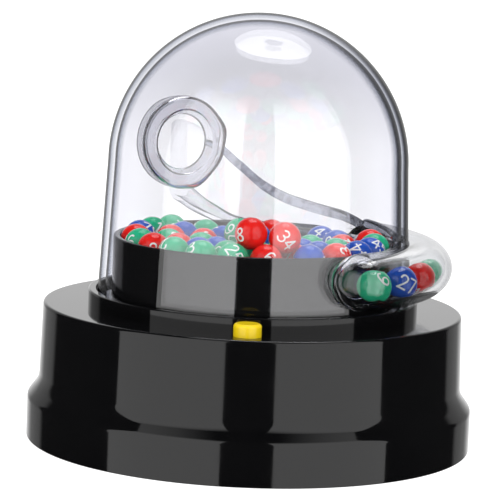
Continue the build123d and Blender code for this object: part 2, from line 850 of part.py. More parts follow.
# dome: a slightly tapered wall under a hemisphere, with the exit hole in its wall
dome_top_z = seat_z + dome_taper_h
hole_top = tube_z + tube_half_h - tube_wall
hole_low = chute_run[-1][1]


def dome_profile(inset):
    """The dome's outline, from its seat to its crown, inset by a wall."""
    low, high = dome_low_r - inset, dome_top_r - inset
    with BuildLine(Plane.XZ) as outline:
        Line((0, seat_z), (low, seat_z))
        Line((low, seat_z), (high, dome_top_z))
        RadiusArc((high, dome_top_z), (0, dome_top_z + high), -high)
        Line((0, dome_top_z + high), (0, seat_z))
    return outline.edges()


with BuildPart() as dome_solid:
    with BuildSketch(Plane.XZ):
        make_face(dome_profile(0))
    revolve(axis=Axis.Z)
with BuildPart() as dome_room:
    with BuildSketch(Plane.XZ):
        make_face(dome_profile(dome_wall))
    revolve(axis=Axis.Z)

with BuildPart() as dome_shell:
    add(dome_solid.part)
    add(dome_room.part, mode=Mode.SUBTRACT)
    with BuildSketch(chute_plane(chute_in)):
        with BuildLine():
            Polyline((15, hole_low), (50, hole_low), (50, hole_top), (15, hole_top), close=True)
        make_face()
    extrude(amount=-(chute_out - chute_in), mode=Mode.SUBTRACT)
save(dome_shell, "dome_shell")


def tube_solid(half_w, half_h, slot):
    """The exit tube's outside or inside: a turned ellipse closed by two ellipsoids."""
    with BuildPart() as body:
        with BuildSketch(Plane.XZ.rotated((0, 0, tube_front))):
            with Locations((tube_ring_r, tube_z)):
                Ellipse(half_w, half_h)
            if slot:
                with Locations((tube_ring_r - 5, tube_z)):
                    Rectangle(10, 2 * half_h)
        revolve(axis=Axis.Z, revolution_arc=tube_back - tube_front)
        for angle in (tube_front, tube_back):
            x, y, z = around(tube_ring_r, angle, tube_z)
            with BuildSketch(Plane((x, y, z), x_dir=(1, 0, 0), z_dir=(0, -1, 0))):
                Ellipse(half_w, half_h)
                with Locations((-half_w, 0)):
                    Rectangle(2 * half_w, 3 * half_h, mode=Mode.SUBTRACT)
            revolve(axis=Axis((x, y, z), (0, 0, 1)))
    return body.part


with BuildPart() as exit_tube:
    add(tube_solid(tube_half_w, tube_half_h, False))
    add(tube_solid(tube_half_w - tube_wall, tube_half_h - tube_wall, True), mode=Mode.SUBTRACT)
    add(dome_solid.part, mode=Mode.SUBTRACT)
save(exit_tube, "exit_tube")

# entry ring, and the hood behind its left half
ring_centre = (ring_x, ring_y, ring_z)
ring_face = Plane(
    ring_centre,
    x_dir=(-sin(radians(ring_turn)), cos(radians(ring_turn)), 0),
    z_dir=around(1, ring_turn),
)
with BuildPart() as ring_room:
    with BuildSketch(ring_face.offset(sliding_gap)):
        Circle(ring_r)
    extrude(amount=-ring_hood_len - sliding_gap)

with BuildPart() as entry_ring:
    with BuildSketch(ring_face):
        Circle(ring_r)
    extrude(amount=-ring_len)
    fillet(entry_ring.edges().sort_by(Axis(ring_centre, around(1, ring_turn)))[-1:], ring_round)
    with BuildSketch(ring_face.offset(-ring_len)):
        Circle(ring_r)
        Circle(ring_r - ring_hood_t, mode=Mode.SUBTRACT)
        with Locations((ring_r, 0)):
            Rectangle(2 * ring_r, 3 * ring_r, mode=Mode.SUBTRACT)
    extrude(amount=ring_len - ring_hood_len)
    with BuildSketch(ring_face):
        Circle(ring_mouth_r)
    with BuildSketch(ring_face.offset(-ring_len)):
        Circle(ring_bore_r)
    loft(mode=Mode.SUBTRACT)
save(entry_ring, "entry_ring")

# chute: round part and straight part, trimmed by the dome's inside and by the ring
with BuildPart() as chute_channel:
    sections = []
    for angle, inner, outer, floor_z, inner_top, outer_top in chute_arc:
        plane = Plane((0, 0, 0), x_dir=around(1, angle), z_dir=(sin(radians(angle)), -cos(radians(angle)), 0))
        sections.append(chute_section(plane, inner, outer, floor_z, inner_top, outer_top))
    for length, floor_z, inner_top, outer_top in chute_run:
        origin = (chute_way[0] * length, chute_way[1] * length, 0)
        plane = Plane(origin, x_dir=chute_side, z_dir=chute_way)
        sections.append(chute_section(plane, chute_in, chute_out, floor_z, inner_top, outer_top))
    loft(sections=sections, ruled=True)
    add(dome_room.part, mode=Mode.INTERSECT)
    add(ring_room.part, mode=Mode.SUBTRACT)
save(chute_channel, "chute_channel")

# balls: rings on the bowl's floor, a few on the stirrer, and a second layer
ball_pitch = 2 * ball_r + ball_gap


def floor_rest(radius):
    """The height of a ball's middle where it rests on the bowl's floor."""
    rise = max(0.0, radius - bowl_flat_r) * tan(slope)
    return bowl_floor_z + rise + (ball_r + ball_rest) / cos(slope)


def ball_ring(radius, start, end, pattern):
    """Balls side by side round a ring, by colour; a dash widens one space."""
    step = 2 * degrees(asin(ball_pitch / 2 / radius))
    angle = start
    balls = []
    for letter in pattern:
        if letter == "-":
            angle += 0.35 * step
        elif angle <= end:
            balls.append((letter, around(radius, angle, floor_rest(radius))))
            angle += step
    return balls


def seated(colour, angle, *rings):
    """A ball of the second layer, on the nearest two balls of one ring and one of the next."""
    goal = Vector(*around(1, angle))

    def aside(ball):
        return Vector(*ball[1][:2]).get_angle(Vector(goal.X, goal.Y))

    first, second = sorted(rings[0], key=aside)[:2]
    third = sorted(rings[1], key=aside)[0]
    a, b, c = (Vector(*ball[1]) for ball in (first, second, third))
    ab, ac = b - a, c - a
    normal = ab.cross(ac)
    side = (normal.cross(ab) * ac.dot(ac) + ac.cross(normal) * ab.dot(ab)) / (2 * normal.dot(normal))
    lift = sqrt(ball_pitch**2 - side.dot(side))
    way = normal.normalized() if normal.Z > 0 else -normal.normalized()
    middle = a + side + way * lift
    return (colour, (middle.X, middle.Y, middle.Z))


outer_r = bowl_in_r - ball_r - ball_rest
middle_r = outer_r - ball_pitch
inner_r = middle_r - ball_pitch
chute_clear = chute_in - chute_wall - loose_gap - ball_r
outer_end = 360 + chute_tangent - degrees(acos(chute_clear / outer_r))
middle_end = 360 + chute_tangent - degrees(acos(chute_clear / middle_r))
outer_balls = ball_ring(outer_r, outer_start, outer_end, "ggbrgrgggr-brbbgr")
middle_balls = ball_ring(middle_r, middle_start, middle_end, "gbrgrbggrbgrbb")
inner_balls = ball_ring(inner_r, inner_start, inner_start + 360 - 32, "brbrgbrgbg")
centre_z = stirrer_top + ball_r + ball_rest
centre_balls = [
    (letter, around(ball_pitch / sqrt(3), 30 + 120 * k, centre_z)) for k, letter in enumerate("rgb")
]
top_balls = [
    seated("r", -92, outer_balls, middle_balls),
    seated("r", -73, outer_balls, middle_balls),
]
bowl_balls = outer_balls + middle_balls + inner_balls + centre_balls + top_balls
print("balls in the bowl", len(bowl_balls))

for name, letter in (("balls_red", "r"), ("balls_green", "g"), ("balls_blue", "b")):
    with BuildPart() as balls:
        with Locations(*[place for colour, place in bowl_balls if colour == letter]):
            Sphere(ball_r)
    save(balls, name)

drawn_step = 2 * degrees(asin((2 * ball_r + drawn_gap) / 2 / drawn_ring_r))
with BuildPart() as drawn_balls:
    with Locations(*[
        around(drawn_ring_r, tube_front + drawn_front + drawn_step * k, drawn_z) for k in range(drawn_count)
    ]):
        Sphere(ball_r)
save(drawn_balls, "drawn_balls")
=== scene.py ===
import math
import random

import bmesh
import bpy
import numpy as np
from mathutils import Matrix, Vector


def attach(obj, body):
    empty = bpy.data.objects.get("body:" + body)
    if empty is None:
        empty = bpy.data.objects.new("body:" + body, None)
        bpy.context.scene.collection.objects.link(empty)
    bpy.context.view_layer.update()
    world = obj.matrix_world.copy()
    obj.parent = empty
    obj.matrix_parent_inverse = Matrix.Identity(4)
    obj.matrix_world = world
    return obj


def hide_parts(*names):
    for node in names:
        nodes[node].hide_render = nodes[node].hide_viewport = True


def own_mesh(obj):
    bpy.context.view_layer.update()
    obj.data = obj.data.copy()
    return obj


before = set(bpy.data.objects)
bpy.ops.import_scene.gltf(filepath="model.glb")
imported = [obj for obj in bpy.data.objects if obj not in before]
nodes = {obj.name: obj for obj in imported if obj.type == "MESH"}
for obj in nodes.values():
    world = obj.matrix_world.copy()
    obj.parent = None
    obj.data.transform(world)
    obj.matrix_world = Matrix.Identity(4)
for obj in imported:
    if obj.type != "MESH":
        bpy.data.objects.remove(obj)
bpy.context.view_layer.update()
mm = 0.001  # the dictionaries are in millimetres and degrees, unless a comment says metres
random.seed(7)

# camera at the photograph's place; the roll tips the machine a little to the right
camera = {"place": (0.0, -729.1, 157.0), "aim": (0.0, 0.0, 60.0), "roll": 2.345, "lens": 181.4,
          "sensor": 36, "shiftX": -0.0109, "shiftY": -0.0280}
cameraData = bpy.data.cameras.new("photoCamera")
cameraData.lens = camera["lens"]
cameraData.sensor_width = camera["sensor"]
cameraData.shift_x = camera["shiftX"]
cameraData.shift_y = camera["shiftY"]
cameraObject = bpy.data.objects.new("photoCamera", cameraData)
bpy.context.scene.collection.objects.link(cameraObject)
place = Vector(camera["place"]) * mm
aim = (Vector(camera["aim"]) * mm - place).to_track_quat("-Z", "Y").to_matrix()
turned = aim @ Matrix.Rotation(math.radians(camera["roll"]), 3, "Z")
cameraObject.matrix_world = Matrix.Translation(place) @ turned.to_4x4()
bpy.context.scene.camera = cameraObject
bpy.context.scene.view_settings.view_transform = "Standard"
print("camera placed")


# an sRGB hex code as linear red, green, blue and alpha
def linearColour(hexCode):
    values = [int(hexCode[k : k + 2], 16) / 255 for k in (1, 3, 5)]
    return tuple(v / 12.92 if v <= 0.04045 else ((v + 0.055) / 1.055) ** 2.4 for v in values) + (1.0,)


# a shader node with its settings, its fixed inputs and its links
def addNode(tree, kind, values=None, links=None, **attributes):
    node = tree.nodes.new("ShaderNode" + kind)
    for name, value in attributes.items():
        setattr(node, name, value)
    for name, value in (values or {}).items():
        node.inputs[name].default_value = value
    for name, socket in (links or {}).items():
        tree.links.new(socket, node.inputs[name])
    return node


# an empty node material and its output
def startMaterial(name):
    material = bpy.data.materials.new(name)
    material.use_nodes = True
    material.node_tree.nodes.clear()
    return material, material.node_tree, addNode(material.node_tree, "OutputMaterial")


# noise on Object coordinates whose features are grainMm across
def grainNoise(tree, grainMm, detail=2.0):
    place = addNode(tree, "TexCoord")
    return addNode(tree, "TexNoise", {"Scale": 1 / (grainMm * mm), "Detail": detail},
                   {"Vector": place.outputs["Object"]})


# what an opaque finish has unless its own look says otherwise
plainLook = {"cloudMm": 9.0, "bump": 0.1, "deepMm": 0.01, "metal": 0.0, "ior": 1.5, "coat": 0.0}
grainLevels = {"low": 0.3, "high": 0.7, "cloudDetail": 3.0, "coatRough": 0.03}


# an opaque material: its colour shifts a little, its gloss is uneven and its skin has a grain
def solidMaterial(name, look):
    material, tree, output = startMaterial(name)
    look = {**plainLook, **look}
    broad = grainNoise(tree, look["cloudMm"], grainLevels["cloudDetail"])
    fine = grainNoise(tree, look["grainMm"])
    colour = addNode(tree, "Mix", {"A": linearColour(look["hex"]), "B": linearColour(look["shade"])},
                     {"Factor": broad.outputs["Fac"]}, data_type="RGBA")
    gloss = addNode(tree, "MapRange",
                    {"From Min": grainLevels["low"], "From Max": grainLevels["high"],
                     "To Min": look["rough"][0], "To Max": look["rough"][1]}, {"Value": broad.outputs["Fac"]})
    bump = addNode(tree, "Bump", {"Strength": look["bump"], "Distance": look["deepMm"] * mm},
                   {"Height": fine.outputs["Fac"]})
    skin = addNode(tree, "BsdfPrincipled",
                   {"Metallic": look["metal"], "IOR": look["ior"], "Coat Weight": look["coat"],
                    "Coat Roughness": grainLevels["coatRough"]},
                   {"Base Color": colour.outputs["Result"], "Roughness": gloss.outputs["Result"],
                    "Normal": bump.outputs["Normal"]})
    tree.links.new(skin.outputs["BSDF"], output.inputs["Surface"])
    return material


solidLooks = {
    # ABS from a polished tool: deep black, mirror-like, with a faint orange peel
    "blackAbs": {"hex": "#060607", "shade": "#0a0a0b", "rough": (0.045, 0.075), "grainMm": 2.5,
                 "deepMm": 0.004, "bump": 0.05, "ior": 1.54},
    # ABS from a spark-eroded tool: soft grey-black; the grain is drawn coarser than real so that it shows
    "grainedAbs": {"hex": "#101012", "shade": "#161618", "rough": (0.38, 0.5), "grainMm": 0.5, "deepMm": 0.03,
                   "bump": 0.35, "ior": 1.54},
    # glossy yellow ABS of the push button
    "yellowAbs": {"hex": "#e8ca12", "shade": "#e0c00c", "rough": (0.16, 0.26), "grainMm": 1.2,
                  "deepMm": 0.006, "bump": 0.08, "ior": 1.54},
    # moulded balls, glossy with a slight unevenness from tumbling
    "redBall": {"hex": "#ee2019", "shade": "#e41a14", "rough": (0.10, 0.2), "grainMm": 0.8, "cloudMm": 3.0,
                "deepMm": 0.004, "bump": 0.08, "coat": 0.4},
    "greenBall": {"hex": "#2bb988", "shade": "#22ae7c", "rough": (0.10, 0.2), "grainMm": 0.8, "cloudMm": 3.0,
                  "deepMm": 0.004, "bump": 0.08, "coat": 0.4},
    "blueBall": {"hex": "#2458c0", "shade": "#1e4eb4", "rough": (0.10, 0.2), "grainMm": 0.8, "cloudMm": 3.0,
                 "deepMm": 0.004, "bump": 0.08, "coat": 0.4},
    # pad-printed white ink, thin and slightly chalky
    "whiteInk": {"hex": "#f4f4f0", "shade": "#e6e8e4", "rough": (0.35, 0.5), "grainMm": 0.3, "cloudMm": 1.0,
                 "bump": 0.1},
    # acetal gears and plunger: milky white, waxy
    "whiteAcetal": {"hex": "#e8e6df", "shade": "#dedbd2", "rough": (0.28, 0.38), "grainMm": 0.6, "bump": 0.1},
    # zinc plate on steel: cool, slightly clouded
    "zincPlate": {"hex": "#b9bcc0", "shade": "#9da1a6", "rough": (0.25, 0.4), "grainMm": 0.4, "cloudMm": 4.0,
                  "metal": 1.0, "bump": 0.1},
    # blackened steel screws: dark oxide, a little oily
    "blackOxide": {"hex": "#2a2a2d", "shade": "#1d1d20", "rough": (0.35, 0.5), "grainMm": 0.3, "metal": 1.0},
    # sintered bronze bush: porous and dull gold
    "sinteredBronze": {"hex": "#a9824a", "shade": "#8c6a3a", "rough": (0.4, 0.55), "grainMm": 0.25,
                       "metal": 1.0, "bump": 0.3, "deepMm": 0.02},
    # bright spring wire
    "springWire": {"hex": "#c6c8cb", "shade": "#a8abb0", "rough": (0.2, 0.3), "grainMm": 0.3, "metal": 1.0},
    # green solder mask over glass laminate, its weave just showing
    "solderMask": {"hex": "#0c5a2a", "shade": "#0a4a22", "rough": (0.25, 0.35), "grainMm": 0.6, "bump": 0.2},
    # shrink sleeve round a dry cell: dark, glossy film
    "cellSleeve": {"hex": "#1c2630", "shade": "#151c26", "rough": (0.18, 0.28), "grainMm": 1.5, "bump": 0.15},
    # soft vinyl insulation
    "redVinyl": {"hex": "#a8160f", "shade": "#8f120c", "rough": (0.35, 0.45), "grainMm": 0.5},
    "blackVinyl": {"hex": "#0d0d0e", "shade": "#131314", "rough": (0.35, 0.45), "grainMm": 0.5},
}
finishes = {name: solidMaterial(name, look) for name, look in solidLooks.items()}

# clear polystyrene: how much a thin wall mirrors and lets through, by how far it is turned from the eye
# (0 square on, 1 edge on); the dark towards edge on is partly the longer path through the plastic and
# partly painted shade for the dark studio seen through the edge; the right flank is painted darker
# (painted shade, as the studio is there) and the crown is painted darker towards the top (painted shade);
# its X and Z are in metres
thinWall = {
    "mirror": ((0.0, 0.085), (0.25, 0.08), (0.45, 0.05), (0.65, 0.05), (0.82, 0.12), (1.0, 0.4)),
    "left": ((0.0, "#fcfcfd"), (0.68, "#f8f8fa"), (0.80, "#d2d4da"), (0.86, "#74767e"), (0.91, "#2c2e35"),
             (1.0, "#101115")),
    "right": ((0.0, "#fcfcfd"), (0.62, "#f8f8fa"), (0.72, "#c9cbd1"), (0.78, "#6c6e76"), (0.84, "#2a2b31"),
              (1.0, "#0c0c0f")),
    "rough": 0.015, "crown": "#f8f8f9", "crownShadeZ": (0.086, 0.108), "shadedFlankX": (0.01, 0.035),
    "shadow": "#fdfdfe",
}


# a colour ramp on how far the wall is turned from the eye; a stop is a hex code or a grey level
def facingRamp(tree, facing, stops):
    ramp = addNode(tree, "ValToRGB", links={"Fac": facing})
    points = ramp.color_ramp.elements
    for k, (position, shade) in enumerate(stops):
        point = points[k] if k < 2 else points.new(position)
        point.position = position
        point.color = linearColour(shade) if isinstance(shade, str) else (shade, shade, shade, 1)
    return ramp.outputs["Color"]


# how far a surface is turned from the eye: 0 square on, 1 edge on
def facingEye(tree):
    return addNode(tree, "LayerWeight", {"Blend": 0.5}).outputs["Facing"]


# X, Y and Z of a point in the piece's own space, or of a way in the world
def ownSpace(tree):
    where = addNode(tree, "TexCoord")
    return addNode(tree, "SeparateXYZ", links={"Vector": where.outputs["Object"]}).outputs


# lamps shine through: a shadow ray meets a plain clear film in place of the surface
def passLamps(tree, output, surface, shadow):
    film = addNode(tree, "BsdfTransparent", {"Color": linearColour(shadow)})
    rays = addNode(tree, "LightPath")
    mix = addNode(tree, "MixShader", links={0: rays.outputs["Is Shadow Ray"], 1: surface, 2: film.outputs[0]})
    tree.links.new(mix.outputs[0], output.inputs["Surface"])


# clear polystyrene seen as a thin wall: light goes straight on, it mirrors a little, and it darkens
# where the eye looks along it, partly for the longer path and partly as painted shade; its right flank
# and its top are painted darker (painted shade)
def clearShell(name):
    material, tree, output = startMaterial(name)
    facing = facingEye(tree)
    place = ownSpace(tree)
    # painted shade: the darker right-flank ramp blends in across X
    side = addNode(tree, "MapRange", {"From Min": thinWall["shadedFlankX"][0], "From Max": thinWall["shadedFlankX"][1]},
                   {"Value": place["X"]})
    flank = addNode(tree, "Mix", links={"Factor": side.outputs["Result"],
                                        "A": facingRamp(tree, facing, thinWall["left"]),
                                        "B": facingRamp(tree, facing, thinWall["right"])}, data_type="RGBA")
    # painted shade: the tint darkens towards the top of the crown
    rise = addNode(tree, "MapRange", {"From Min": thinWall["crownShadeZ"][0], "From Max": thinWall["crownShadeZ"][1]},
                   {"Value": place["Z"]})
    crown = addNode(tree, "Mix", {"A": (1, 1, 1, 1), "B": linearColour(thinWall["crown"])},
                    {"Factor": rise.outputs["Result"]}, data_type="RGBA")
    tint = addNode(tree, "Mix", {"Factor": 1.0}, {"A": flank.outputs["Result"], "B": crown.outputs["Result"]},
                   data_type="RGBA", blend_type="MULTIPLY")
    through = addNode(tree, "BsdfTransparent", links={"Color": tint.outputs["Result"]})
    mirror = addNode(tree, "BsdfGlossy", {"Color": (1, 1, 1, 1), "Roughness": thinWall["rough"]})
    amount = facingRamp(tree, facing, thinWall["mirror"])
    wall = addNode(tree, "MixShader", links={0: amount, 1: through.outputs[0], 2: mirror.outputs[0]})
    passLamps(tree, output, wall.outputs[0], thinWall["shadow"])
    return material


# what the thick mouldings share: index, waviness, where the edge darkens (painted shade towards edge on) and
# the streaks
thickWall = {"ior": 1.57, "deepMm": 0.05, "flatTo": 0.72, "edgeAt": 0.88, "rim": "#1c1d22",
             "streakNoise": (0.48, 0.62), "shadow": "#f6f7f9"}


# clear polystyrene as a thick moulding: it bends what is behind it; its colour is painted darker towards edge
# on (painted shade)
def clearSolid(name, look):
    material, tree, output = startMaterial(name)
    fine = grainNoise(tree, look["waveMm"])
    bump = addNode(tree, "Bump", {"Strength": look["wave"], "Distance": thickWall["deepMm"] * mm},
                   {"Height": fine.outputs["Fac"]})
    # painted shade: the colour runs from the body colour to the dark rim as the surface turns edge on
    body = facingRamp(tree, facingEye(tree), ((0.0, look["hex"]), (thickWall["flatTo"], look["hex"]),
                                              (thickWall["edgeAt"], look["edge"]), (1.0, thickWall["rim"])))
    glass = addNode(tree, "BsdfPrincipled",
                    {"Roughness": look["rough"], "IOR": thickWall["ior"],
                     "Transmission Weight": look["clear"]},
                    {"Base Color": body, "Normal": bump.outputs["Normal"]})
    # painted shade: towards the far end (+X, the right, where the studio is dark) the rail's colour darkens;
    # the darker streaks follow the noise
    if "far" in look:  # darker streaks, and darker towards the far end
        streak = addNode(tree, "MapRange", {"From Min": thickWall["streakNoise"][0],
                                            "From Max": thickWall["streakNoise"][1]},
                         {"Value": fine.outputs["Fac"]})
        near = addNode(tree, "Mix", {"B": linearColour(look["streak"])},
                       {"Factor": streak.outputs["Result"], "A": body}, data_type="RGBA")
        along = addNode(tree, "MapRange", {"From Min": look["farShadeX"][0], "From Max": look["farShadeX"][1]},
                        {"Value": ownSpace(tree)["X"]})
        farther = addNode(tree, "Mix", {"B": linearColour(look["far"])},
                          {"Factor": along.outputs["Result"], "A": near.outputs["Result"]}, data_type="RGBA")
        tree.links.new(farther.outputs["Result"], glass.inputs["Base Color"])
    passLamps(tree, output, glass.outputs["BSDF"], thickWall["shadow"])
    return material


clearLooks = {
    # exit tube: crisp and colourless
    "clearTube": {"hex": "#fafbfd", "edge": "#9a9ca4", "rough": 0.015, "clear": 1.0, "waveMm": 4.0,
                  "wave": 0.05},
    # entry ring: thick, slightly milky, its skin uneven from the mould
    "clearRing": {"hex": "#f8f8fc", "edge": "#a6a8b2", "rough": 0.07, "clear": 0.96, "waveMm": 2.5,
                  "wave": 0.5},
    # rails of the chute: a rounded rod, its colour painted darker for the dark of the studio that it gathers
    # (painted shade), and darker still towards the right end (painted shade); the X range of that far shade
    # is in metres
    "clearRailPaintedShade": {"hex": "#d4d6e2", "edge": "#7c7f8a", "rough": 0.06, "clear": 0.97, "waveMm": 2.5,
                  "wave": 0.2, "far": "#a4a7b2", "farShadeX": (0.018, 0.036), "streak": "#a2a4b0"},
    # free edge of the ring's hood: painted dark nearly all over (painted shade), as it is seen end on
    "clearLipPaintedDark": {"hex": "#8d909c", "edge": "#3a3c44", "rough": 0.05, "clear": 0.97, "waveMm": 2.5,
                 "wave": 0.2},
}
finishes["clearDome"] = clearShell("clearDome")
finishes.update({name: clearSolid(name, look) for name, look in clearLooks.items()})
print("materials made")


# quads between neighbouring rows and columns of a grid of points
def gridFaces(rows, columns, closeRows=False, closeColumns=False):
    r = np.arange(rows if closeRows else rows - 1)[:, None]
    c = np.arange(columns if closeColumns else columns - 1)[None, :]
    r2, c2 = (r + 1) % rows, (c + 1) % columns
    corners = (r * columns + c, r * columns + c2, r2 * columns + c2, r2 * columns + c)
    return np.stack([k + 0 * r + 0 * c for k in corners], axis=-1).reshape(-1, 4)


# the two end faces of a closed grid of rows, each row a loop
def endFaces(rows, columns):
    return [list(range(columns)), list(range(rows * columns - 1, (rows - 1) * columns - 1, -1))]


# merge distances in metres, and the angles past which an edge is sharp
meshCare = {"merge": 1e-7, "degenerate": 1e-8, "nodeMerge": 1e-6, "sharp": 35, "cutSharp": 30,
            "clearSharp": 50, "ballSharp": 40}


# an object in the scene for a mesh
def showMesh(name, mesh):
    piece = bpy.data.objects.new(name, mesh)
    bpy.context.scene.collection.objects.link(piece)
    return piece


# a mesh object from millimetre points; doubles at poles are merged and faces turned outwards
def makePiece(name, points, faces, materials, marks=None, sharp=meshCare["sharp"]):
    mesh = bpy.data.meshes.new(name)
    faces = faces if isinstance(faces, list) else faces.tolist()
    mesh.from_pydata((np.asarray(points, dtype=float).reshape(-1, 3) * mm).tolist(), [], faces)
    for material in materials:
        mesh.materials.append(finishes[material])
    if marks is not None:
        mesh.polygons.foreach_set("material_index", np.asarray(marks, dtype=np.int32))
    work = bmesh.new()
    work.from_mesh(mesh)
    bmesh.ops.remove_doubles(work, verts=work.verts, dist=meshCare["merge"])
    bmesh.ops.dissolve_degenerate(work, edges=work.edges, dist=meshCare["degenerate"])
    bmesh.ops.recalc_face_normals(work, faces=work.faces)
    work.to_mesh(mesh)
    work.free()
    mesh.shade_smooth()
    mesh.set_sharp_from_angle(angle=math.radians(sharp))
    return showMesh(name, mesh)


# joins or cuts piece with tool, and puts the result in piece's own mesh
def combine(piece, tool, operation, sharp=meshCare["cutSharp"]):
    step = piece.modifiers.new("combine", "BOOLEAN")
    step.object = tool
    step.operation = operation
    step.solver = "EXACT"
    graph = bpy.context.evaluated_depsgraph_get()
    mesh = bpy.data.meshes.new_from_object(piece.evaluated_get(graph))
    piece.modifiers.clear()
    piece.data = mesh
    bpy.data.objects.remove(tool)
    mesh.shade_smooth()
    mesh.set_sharp_from_angle(angle=math.radians(sharp))


# an arc has a step for this many degrees; a guard point stands this far along each run
rounding = {"stepDeg": 9, "leastSteps": 3, "guard": 0.25, "guardShare": 0.3, "guardLeast": 0.05}


# corners (r, z, radius) joined by straight runs; each corner with a radius becomes an arc, and each
# arc has a point a little way along its runs so that flat faces stay flat when shaded smooth
def roundedProfile(corners, closed=True):
    count = len(corners)
    points = []
    for k, (r, z, radius) in enumerate(corners):
        here = np.array((r, z), dtype=float)
        if radius <= 0 or (not closed and k in (0, count - 1)):
            points.append(here[None, :])
            continue
        before = np.array(corners[k - 1][:2], dtype=float) - here
        after = np.array(corners[(k + 1) % count][:2], dtype=float) - here
        back, on = before / np.linalg.norm(before), after / np.linalg.norm(after)
        half = math.acos(np.clip(np.dot(back, on), -1, 1)) / 2
        reach = radius / math.tan(half)
        middle = here + (back + on) / np.linalg.norm(back + on) * radius / math.sin(half)
        start, end = here + back * reach - middle, here + on * reach - middle
        turn = math.pi - 2 * half
        steps = max(rounding["leastSteps"], int(math.degrees(turn) / rounding["stepDeg"]))
        t = np.linspace(0, 1, steps + 1)[:, None]
        arc = (np.sin((1 - t) * turn) * start + np.sin(t * turn) * end) / math.sin(turn)
        guard = min(rounding["guard"], reach * rounding["guardShare"] + rounding["guardLeast"])
        points.append((here + back * (reach + guard))[None, :])
        points.append(middle + arc)
        points.append((here + on * (reach + guard))[None, :])
    return np.concatenate(points)


# a profile of (radius, height) turned round the upright axis: x = r cos a, y = r sin a
def revolve(name, profile, materials, closed=True, segments=256, sharp=meshCare["sharp"]):
    angle = np.linspace(0, 2 * math.pi, segments, endpoint=False)
    r, z = profile[:, 0][:, None], profile[:, 1][:, None]
    points = np.stack([r * np.cos(angle), r * np.sin(angle), z + 0 * angle], axis=-1)
    return makePiece(name, points, gridFaces(len(profile), segments, closed, True), materials, sharp=sharp)


# a closed prism on an outline; a point goes to placed(u, v, w), where w runs from low to high
def prism(name, outline, low, high, placed):
    count = len(outline)
    rings = [[placed(u, v, w) for u, v in outline] for w in (low, high)]
    faces = [tuple(range(count)), tuple(range(2 * count - 1, count - 1, -1))]
    faces += [(k, (k + 1) % count, count + (k + 1) % count, count + k) for k in range(count)]
    return makePiece(name, np.array(rings).reshape(-1, 3), faces, [])


# the four corners of an upright rectangle
def rectangle(left, low, right, high):
    return [(left, low), (right, low), (right, high), (left, high)]


# a share from 0 to 1, eased at both ends
def eased(s):
    return s**2 * (3 - 2 * s)


# base housing: foot, shoulder, drum and deck
housing = {"footR": 65.0, "footH": 12.0, "drumLowR": 61.75, "drumLowZ": 16.4, "drumTopR": 61.12,
           "deckZ": 39.57, "wall": 2.4, "shoulderZ": 14.8, "roofDrop": 1.0, "holeR": 30.0, "buttonHoleR": 4.1,
           "edge": 0.3, "deckRound": 0.9, "cove": 6.0, "footRound": 2.0, "innerRound": 0.6, "segments": 360}
button = {"r": 3.9, "ringR": 53.32, "turn": -91.2, "top": 43.1, "flangeR": 5.2, "flangeZ": 37.12,
          "flangeT": 1.2, "stemR": 1.8, "stemZ": 33.0, "edge": 0.2, "topRound": 1.0, "segments": 96,
          "holeSides": 64, "holeCut": (30, 50)}
h = housing
housingProfile = roundedProfile([
    (h["holeR"], h["deckZ"], h["edge"]), (h["drumTopR"], h["deckZ"], h["deckRound"]),
    (h["drumLowR"], h["drumLowZ"], h["cove"]), (h["footR"], h["footH"], h["footRound"]),
    (h["footR"], 0.0, h["edge"]), (h["footR"] - h["wall"], 0.0, h["edge"]),
    (h["footR"] - h["wall"], h["footH"] - h["roofDrop"], h["edge"]),
    (h["drumLowR"] - h["wall"], h["shoulderZ"], h["edge"]),
    (h["drumTopR"] - h["wall"], h["deckZ"] - h["wall"], h["innerRound"]),
    (h["holeR"], h["deckZ"] - h["wall"], h["edge"])])
baseHousing = revolve("baseHousing", housingProfile, ["blackAbs"], segments=h["segments"])
buttonX = button["ringR"] * math.cos(math.radians(button["turn"]))
buttonY = button["ringR"] * math.sin(math.radians(button["turn"]))


# a point of a unit circle goes to the button's hole, at height z
def onButtonHole(u, v, z):
    return (buttonX + housing["buttonHoleR"] * u, buttonY + housing["buttonHoleR"] * v, z)


holeTurn = np.linspace(0, 2 * math.pi, button["holeSides"], endpoint=False)
holeCircle = [(math.cos(a), math.sin(a)) for a in holeTurn]
holeTool = prism("buttonHole", holeCircle, *button["holeCut"], onButtonHole)
combine(baseHousing, holeTool, "DIFFERENCE")
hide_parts("base_housing")
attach(baseHousing, "base")
print("housing made")

# push button: a cap with a rounded top edge, its flange and stem
b = button
buttonProfile = roundedProfile([
    (0.0, b["stemZ"], 0), (b["stemR"], b["stemZ"], b["edge"]),
    (b["stemR"], b["flangeZ"] - b["flangeT"], b["edge"]),
    (b["flangeR"], b["flangeZ"] - b["flangeT"], b["edge"]), (b["flangeR"], b["flangeZ"], b["edge"]),
    (b["r"], b["flangeZ"], b["edge"]), (b["r"], b["top"], b["topRound"]), (0.0, b["top"], 0)], closed=False)
pushButton = revolve("pushButton", buttonProfile, ["yellowAbs"], closed=False, segments=b["segments"])
pushButton.data.transform(Matrix.Translation((buttonX * mm, buttonY * mm, 0)))
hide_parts("push_button")
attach(pushButton, "button")

# bowl insert: collar, bowl wall and sloping floor, with the trench that the chute lies in
bowl = {"collarR": 48.12, "deckZ": 39.57, "collarTop": 43.59, "collarIn": 45.92, "seatZ": 41.6, "r": 41.4,
        "inR": 39.4, "rimZ": 59.4, "edgeZ": 53.5, "floorZ": 51.5, "flatR": 12.5, "bushR": 2.5, "bossR": 4.5,
        "bossZ": 47.2, "floorT": 2.0, "edge": 0.2, "collarRound": 0.5, "collarLip": 0.4, "rimRound": 0.6,
        "floorEdge": 0.8, "floorBend": 4.0, "underEdge": 0.3, "segments": 300}
